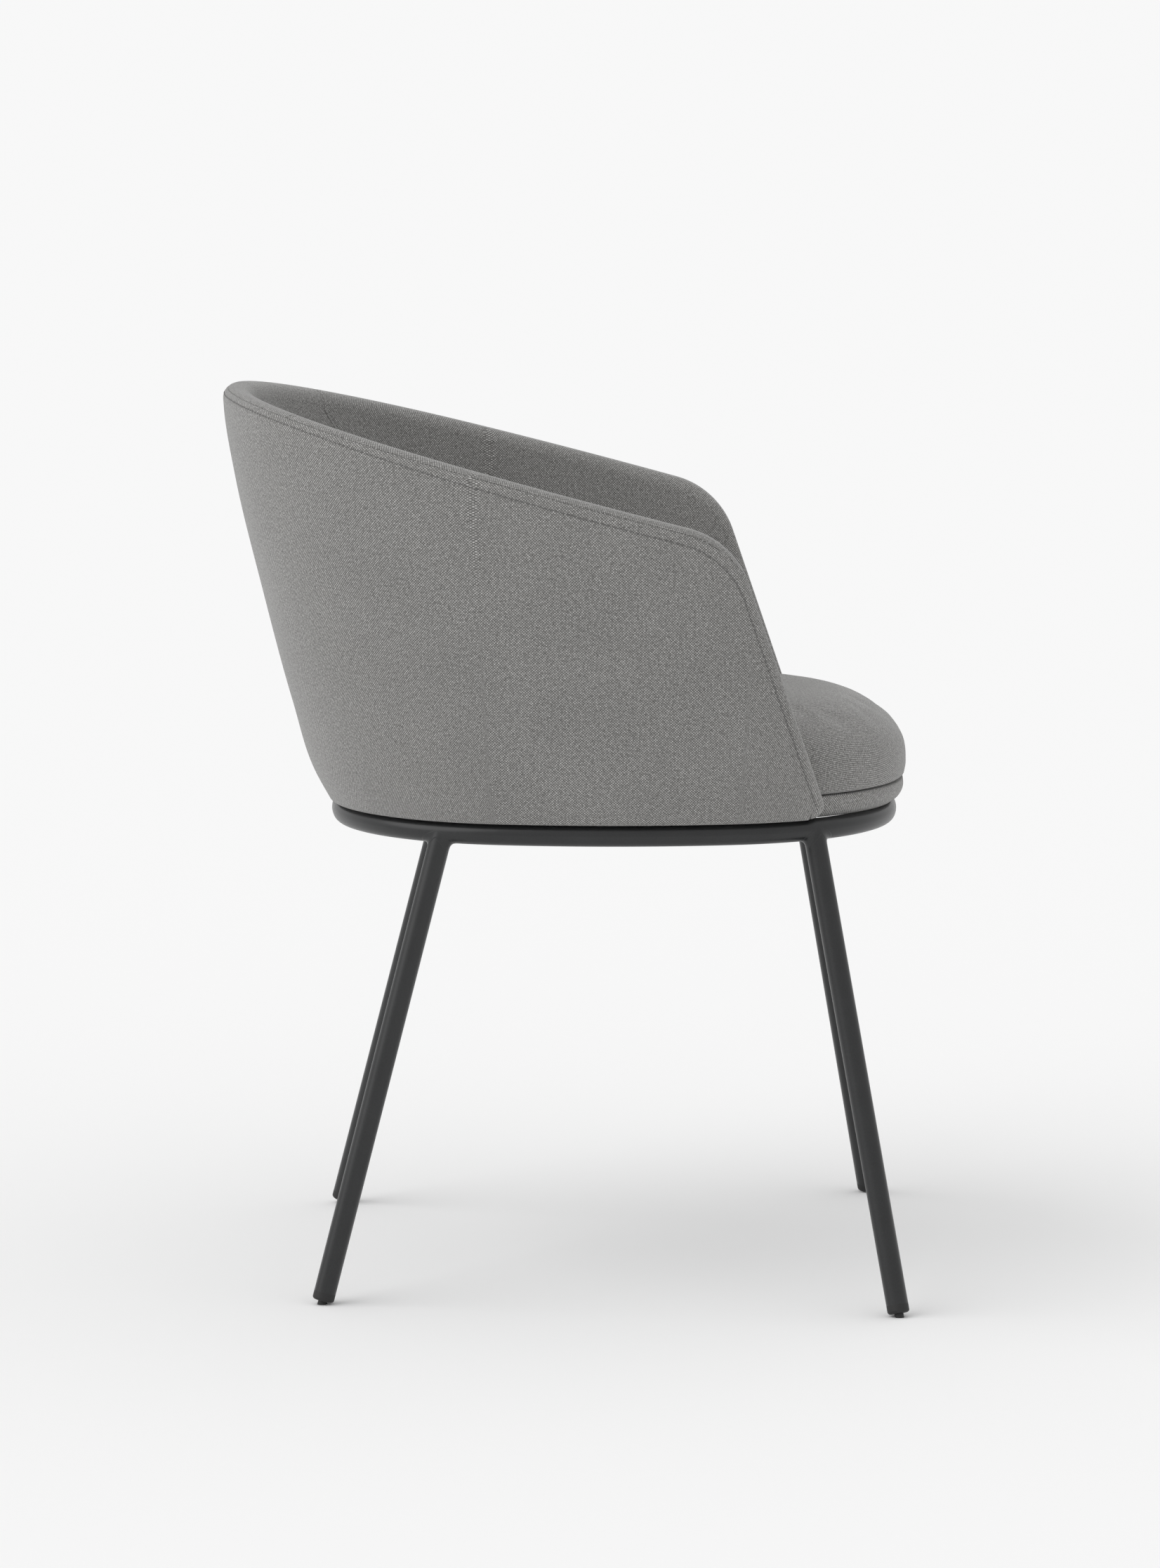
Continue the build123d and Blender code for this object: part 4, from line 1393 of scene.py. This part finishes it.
@dataclass
class Cushion:
    """The crowned seat cushion, blown up gently under its cloth."""

    finishes: Finishes
    form: SeatForm = field(default_factory=SeatForm)
    columns: int = 220
    voxel: float = 4.5 * MM
    pressure: float = 4.0
    frames: int = 20
    most_swell: float = 3.0 * MM
    start_inside: float = -0.8 * MM  # a little outside, because the smoothing draws it in
    top_rows: int = 14
    crown_rows: int = 40
    held_height: float = 3 * MM
    middle_share: float = 0.04  # how small the last ring is

    def form_rows(self, inside: float) -> list[np.ndarray]:
        """Rings of points from the cushion's foot to the middle of its top.

        Args:
            inside: How far inside the finished cushion to stay.

        Returns:
            One closed ring for each height.
        """
        angles = np.linspace(-pi / 2, pi / 2, self.columns // 2 + 1)
        crown = np.array(self.form.crown) * MM
        fine = np.linspace(0, len(crown) - 1, self.crown_rows)
        heights = hermite(fine, np.arange(len(crown)), crown[:, 0])
        insets = hermite(fine, np.arange(len(crown)), crown[:, 1])
        rings = []
        for z, inset in zip(heights, insets):
            x, y = self.form.widest().inset(inset + inside).at(angles)
            level = np.full(len(x), min(z, self.form.cushion_top - inside))
            half = np.stack([x, y, level], axis=1)
            rings.append(np.concatenate([half[:-1], half[::-1][:-1] * [-1, 1, 1]]))
        middle = np.array([0.0, self.form.outline.centre_y, 0.0])
        last = rings[-1]
        rise = self.form.cushion_top - inside - last[0, 2]
        for s in np.linspace(1, self.middle_share, self.top_rows)[1:]:
            ring = middle + (last - middle) * [s, s, 0]
            ring[:, 2] = last[0, 2] + rise * (1 - s * s)
            rings.append(ring)
        return rings

    def closed_form(self, name: str, inside: float) -> bpy.types.Object:
        """The cushion as a closed mesh before its cloth is tightened.

        Args:
            name: The piece's name.
            inside: How far inside the finished cushion to stay.

        Returns:
            The closed mesh object.
        """
        rings = self.form_rows(inside)
        sheet = Sheet()
        grid = np.stack(rings)
        sheet.grid(grid, grid[..., :2], loop=True)
        sheet.faces.append(tuple(range(self.columns))[::-1])
        top = sheet.count - self.columns
        sheet.faces.append(tuple(range(top, top + self.columns)))
        return sheet.build(name)

    def tighten(self, piece: bpy.types.Object) -> None:
        """Blow the cushion up as cloth under pressure, then keep it near its form.

        Args:
            piece: The closed mesh, which takes the settled cloth's shape.
        """
        remesh = piece.modifiers.new("remesh", "REMESH")
        remesh.mode = "VOXEL"
        remesh.voxel_size = self.voxel
        bpy.context.view_layer.objects.active = piece
        bpy.ops.object.modifier_apply(modifier=remesh.name)
        mesh = piece.data
        start = np.empty(len(mesh.vertices) * 3)
        mesh.vertices.foreach_get("co", start)
        start = start.reshape(-1, 3)
        foot = piece.vertex_groups.new(name="held_foot")
        held = np.nonzero(start[:, 2] < self.form.cushion_foot + self.held_height)[0]
        foot.add(held.tolist(), 1.0, "REPLACE")
        cloth = piece.modifiers.new("cloth", "CLOTH")
        cloth.settings.use_pressure = True
        cloth.settings.uniform_pressure_force = self.pressure
        cloth.settings.effector_weights.gravity = 0.0
        cloth.settings.vertex_group_mass = foot.name
        cloth.settings.quality = 4
        cloth.point_cache.frame_start = 1
        cloth.point_cache.frame_end = self.frames
        scene = bpy.context.scene
        for frame_number in range(1, self.frames + 1):
            scene.frame_set(frame_number)
        shaped = piece.evaluated_get(bpy.context.evaluated_depsgraph_get())
        moved = np.empty(len(mesh.vertices) * 3)
        shaped.data.vertices.foreach_get("co", moved)
        move = moved.reshape(-1, 3) - start
        size = np.linalg.norm(move, axis=1, keepdims=True)
        move *= np.minimum(1.0, self.most_swell / np.maximum(size, 1e-9))
        piece.modifiers.remove(cloth)
        scene.frame_set(1)
        mesh.vertices.foreach_set("co", (start + move).ravel())
        mesh.update()

    def settle(self, piece: bpy.types.Object) -> None:
        """Keep the cushion inside its widest outline and above its seat.

        Args:
            piece: The cushion.
        """
        mesh = piece.data
        points = np.empty(len(mesh.vertices) * 3)
        mesh.vertices.foreach_get("co", points)
        points = points.reshape(-1, 3)
        widest = self.form.widest()
        beyond = widest.outside(points[:, 0], points[:, 1])
        over = np.maximum(beyond, 0)[:, None]
        centre = np.array([0, self.form.outline.centre_y])
        points[:, :2] -= unit(points[:, :2] - centre) * over
        points[:, 2] = np.maximum(points[:, 2], self.form.cushion_foot)
        mesh.vertices.foreach_set("co", points.ravel())
        mesh.update()

    def lay_weave(self, piece: bpy.types.Object) -> None:
        """Lay fabric coordinates straight over the crown and down the sides.

        Args:
            piece: The cushion.
        """
        mesh = piece.data
        points = np.empty(len(mesh.vertices) * 3)
        mesh.vertices.foreach_get("co", points)
        points = points.reshape(-1, 3)
        centre = np.array([0, self.form.outline.centre_y])
        flat = points[:, :2] - centre
        inside = -self.form.widest().outside(points[:, 0], points[:, 1])
        crown = np.array(self.form.crown) * MM
        girth = running_length(crown)
        below = girth[-1] - np.interp(points[:, 2], crown[:, 0], girth)
        level = crown[-1, 1] - inside
        extra = np.maximum(below - np.maximum(level, 0), 0)
        weave = flat + unit(flat) * extra[:, None]
        corners = np.empty(len(mesh.loops), dtype=np.int32)
        mesh.loops.foreach_get("vertex_index", corners)
        for old in list(mesh.uv_layers):
            mesh.uv_layers.remove(old)
        layer = mesh.uv_layers.new(name="weave")
        layer.data.foreach_set("uv", weave[corners].ravel())

    def build(self) -> None:
        piece = self.closed_form("seat_cushion_cloth", self.start_inside)
        self.tighten(piece)
        smooth = piece.modifiers.new("smooth", "SMOOTH")
        smooth.factor = 0.5
        smooth.iterations = 3
        finer = piece.modifiers.new("finer", "SUBSURF")
        finer.levels = 1
        finer.render_levels = 1
        bpy.context.view_layer.objects.active = piece
        for step in ("smooth", "finer"):
            bpy.ops.object.modifier_apply(modifier=step)
        self.settle(piece)
        self.lay_weave(piece)
        mesh = piece.data
        mesh.polygons.foreach_set("use_smooth", [True] * len(mesh.polygons))
        place_piece(piece, self.finishes.fabric)
        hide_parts("seat_cushion_cover", "seat_cushion_foam")


@dataclass
class SeatBand:
    """The cloth-covered edge of the seat base, turned under the board."""

    finishes: Finishes
    form: SeatForm = field(default_factory=SeatForm)
    columns: int = 300
    hem: float = 25 * MM
    top_reach: float = 14 * MM

    def build(self) -> None:
        angles = np.linspace(-pi / 2, pi / 2, self.columns // 2 + 1)
        edge = np.array(self.form.edge)
        fine = np.linspace(0, len(edge) - 1, 22)
        share = hermite(fine, np.arange(len(edge)), edge[:, 0])
        inset = hermite(fine, np.arange(len(edge)), edge[:, 1]) * MM
        height = self.form.base_top - self.form.foot
        profile = [(self.form.foot, inset[0] + self.hem), (self.form.foot, inset[0] + 2 * MM)]
        profile += [(self.form.foot + s * height, step) for s, step in zip(share[:-2], inset[:-2])]
        top = self.form.base_top
        profile += [(top - 1.3 * MM, 0.4 * MM), (top - 0.4 * MM, 0.8 * MM)]
        profile += [(top, 1.8 * MM), (top, self.top_reach)]
        rings = []
        for z, step in profile:
            x, y = self.form.outline.inset(step).at(angles)
            half = np.stack([x, y, np.full(len(x), z)], axis=1)
            rings.append(np.concatenate([half[:-1], half[::-1][:-1] * [-1, 1, 1]]))
        grid = np.stack(rings)
        girth = running_length(np.concatenate([grid[4], grid[4][:1]]))[:-1]
        run = running_length(grid[:, 0])
        weave = np.stack(np.broadcast_arrays(girth, run[:, None]), axis=-1)
        sheet = Sheet()
        sheet.grid(grid, weave, loop=True)
        piece = place_piece(sheet.build("seat_band_cloth"), self.finishes.fabric)
        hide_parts("seat_base_cover", "seat_base_foam")


# ---------------------------------------------------------------- the frame


@dataclass
class Frame:
    """The tube frame: smooth welds in place of the plain beads, and its finishes."""

    finishes: Finishes
    tube_radius: float = 9.5 * MM
    ring_height: float = 405 * MM
    ring: Oval = Oval(-41.8 * MM, 212 * MM, 241 * MM, 510 * MM, 483 * MM, 173 * MM)
    front_setback: float = 70 * MM
    rear_setback: float = 92 * MM
    front_splay: tuple[float, float] = (113 * MM, 71 * MM)
    rear_splay: tuple[float, float] = (45 * MM, 104 * MM)
    weld_leg: float = 6.5 * MM
    weld_search: float = 40 * MM
    weld_sides: int = 64
    weld_lift: float = 0.05 * MM
    weld_sink: float = 0.3 * MM
    ring_columns: int = 1200

    def ring_points(self) -> np.ndarray:
        """The ring's centreline."""
        angles = np.linspace(-pi / 2, pi / 2, self.ring_columns)
        x, y = self.ring.at(angles)
        half = np.stack([x, y, np.full(len(x), self.ring_height)], axis=1)
        return np.concatenate([half, half[::-1] * [-1, 1, 1]])

    def weld(self, side: int, front: bool, ring: np.ndarray) -> np.ndarray:
        """A concave weld between one leg and the ring.

        Args:
            side: -1 or 1 along X.
            front: A front leg or a rear one.
            ring: The ring's centreline.

        Returns:
            Points, round the leg by along the weld's curve.
        """
        end = -1 if front else 1
        setback = self.front_setback if front else self.rear_setback
        splay = self.front_splay if front else self.rear_splay
        top_y = self.ring.centre_y + end * (self.ring.half_length - setback)
        angle = self.ring.angle_at(np.array(top_y))
        top = np.array([side * float(self.ring.at(angle)[0]), top_y, self.ring_height])
        foot = np.array([top[0] + side * splay[0], top_y + end * splay[1], 0.0])
        axis = unit(foot - top)
        across = unit(np.cross(axis, [0.0, 0.0, 1.0]))
        other = np.cross(axis, across)
        radius = self.tube_radius
        down = np.linspace(0, self.weld_search, 801)
        rounds = []
        for turn in np.linspace(0, 2 * pi, self.weld_sides + 1)[:-1]:
            away = across * np.cos(turn) + other * np.sin(turn)
            line = top + away * radius + axis * down[:, None]
            gap = np.linalg.norm(line[:, None] - ring[None, ::6], axis=2).min(axis=1) - radius
            meet = down[np.nonzero(gap < 0)[0][-1]] if (gap < 0).any() else 0.0
            corner = top + away * radius + axis * meet
            on_leg = corner + axis * self.weld_leg + away * self.weld_lift
            reach = corner + away * self.weld_leg
            nearest = ring[np.argmin(np.linalg.norm(ring - reach, axis=1))]
            on_ring = nearest + unit(reach - nearest) * (radius + self.weld_lift)
            shares = np.linspace(0, 1, 9)[:, None]
            curve = (1 - shares) ** 2 * on_leg
            curve = curve + 2 * shares * (1 - shares) * corner + shares**2 * on_ring
            start = on_leg + (axis - away) * self.weld_sink
            finish = on_ring + unit(on_ring - on_leg) * self.weld_sink
            finish = nearest + unit(finish - nearest) * (radius - 0.2 * MM)
            rounds.append(np.concatenate([[start], curve, [finish]]))
        return np.stack(rounds, axis=1)

    def build(self, frame: dict) -> None:
        """Build the welds and dress every node of the frame.
        """
        ring = self.ring_points()
        sheet = Sheet()
        for side in (-1, 1):
            for front in (True, False):
                points = self.weld(side, front, ring)
                turned = side * (1 if front else -1) > 0
                sheet.grid(points, points[..., :2], flip=turned, loop=True)
        welds = place_piece(sheet.build("weld_fillets"), self.finishes.powder)
        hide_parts("weld_beads")
        look = self.finishes
        starts = (
            (look.powder, ("ring_frame", "leg_", "cross_rail_", "weld_beads")),
            (look.nylon, ("foot_cap_", "glide_pads")),
            (look.zinc, ("rail_", "tee_nuts", "shell_screws", "staples")),
            (look.plywood, ("seat_board", "shell_core", "spacer_block_")),
            (look.foam, ("outer_foam", "inner_foam", "seat_base_foam", "seat_cushion_foam")),
            (
                look.fabric,
                ("outer_cover", "inner_cover_", "seat_base_cover", "seat_cushion_cover"),
            ),
            (look.dust_cloth, ("dust_cover",)),
        )
        for name, node in frame["nodes"].items():
            for finish, names in starts:
                if name.startswith(names):
                    dress(node, finish)
            LOG.info("node %s: %s", name, node.data.materials[0].name)


# ---------------------------------------------------------------- the studio


@dataclass
class Studio:
    """Pale floor, soft light and the camera."""

    camera_place: tuple[float, float, float] = (-5.576, -0.0028, 1.134)
    pitch_down: float = radians(7.27)
    yaw: float = radians(0.09)
    focal_length: float = 145.1
    floor_reach: float = 400.0
    paper: str = "fafafa"
    surround: float = 0.775
    key_strength: float = 1.0
    key_spread: float = radians(60)
    key_turn: tuple[float, float, float] = (radians(-46), radians(-22), 0.0)

    def build(self) -> None:
        """Build the stage, the lights and the camera."""
        scene = bpy.context.scene
        scene.view_settings.view_transform = "Standard"
        self.floor()
        self.lights()
        data = bpy.data.cameras.new("camera")
        data.lens = self.focal_length
        data.sensor_width = 36.0
        data.clip_end = 1000.0
        camera = bpy.data.objects.new("camera", data)
        camera.location = self.camera_place
        camera.rotation_euler = (pi / 2 - self.pitch_down, 0.0, -pi / 2 - self.yaw)
        bpy.context.collection.objects.link(camera)
        scene.camera = camera

    def floor(self) -> None:
        """A wide matt floor of pale seamless paper."""
        sheet = Sheet()
        side = np.linspace(-self.floor_reach, self.floor_reach, 3)
        x, y = np.meshgrid(side, side)
        points = np.stack([x, y, np.zeros_like(x)], axis=-1)
        sheet.grid(points, points[..., :2])
        floor = sheet.build("floor")
        material, tree = new_tree("seamless_paper")
        shader = add_node(
            tree,
            "ShaderNodeBsdfPrincipled",
            {"Base Color": linear(self.paper), "Roughness": 1.0, "Specular IOR Level": 0.0},
        )
        close_tree(tree, shader)
        floor.data.materials.append(material)

    def lights(self) -> None:
        """An even white surround and one broad soft light from behind, above and to the left."""
        world = bpy.data.worlds.new("studio")
        world.use_nodes = True
        tree = world.node_tree
        tree.nodes.clear()
        glow = add_node(
            tree,
            "ShaderNodeBackground",
            {"Color": (1.0, 1.0, 1.0, 1.0), "Strength": self.surround},
        )
        add_node(tree, "ShaderNodeOutputWorld", links={"Surface": glow.outputs[0]})
        bpy.context.scene.world = world
        sun = bpy.data.lights.new("broad_key", "SUN")
        sun.energy = self.key_strength
        sun.angle = self.key_spread
        key = bpy.data.objects.new("broad_key", sun)
        key.rotation_euler = self.key_turn
        bpy.context.collection.objects.link(key)


def main() -> None:
    """Build the dressed chair on its frame."""
    logging.basicConfig(level=logging.INFO, format="%(name)s: %(message)s")
    for default in list(bpy.data.objects):
        bpy.data.objects.remove(default)
    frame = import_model()
    finishes = Finishes.make()
    Frame(finishes).build(frame)
    SeatBand(finishes).build()
    Cushion(finishes).build()
    Tub(finishes).build()
    Studio().build()


if __name__ == "__main__":
    main()
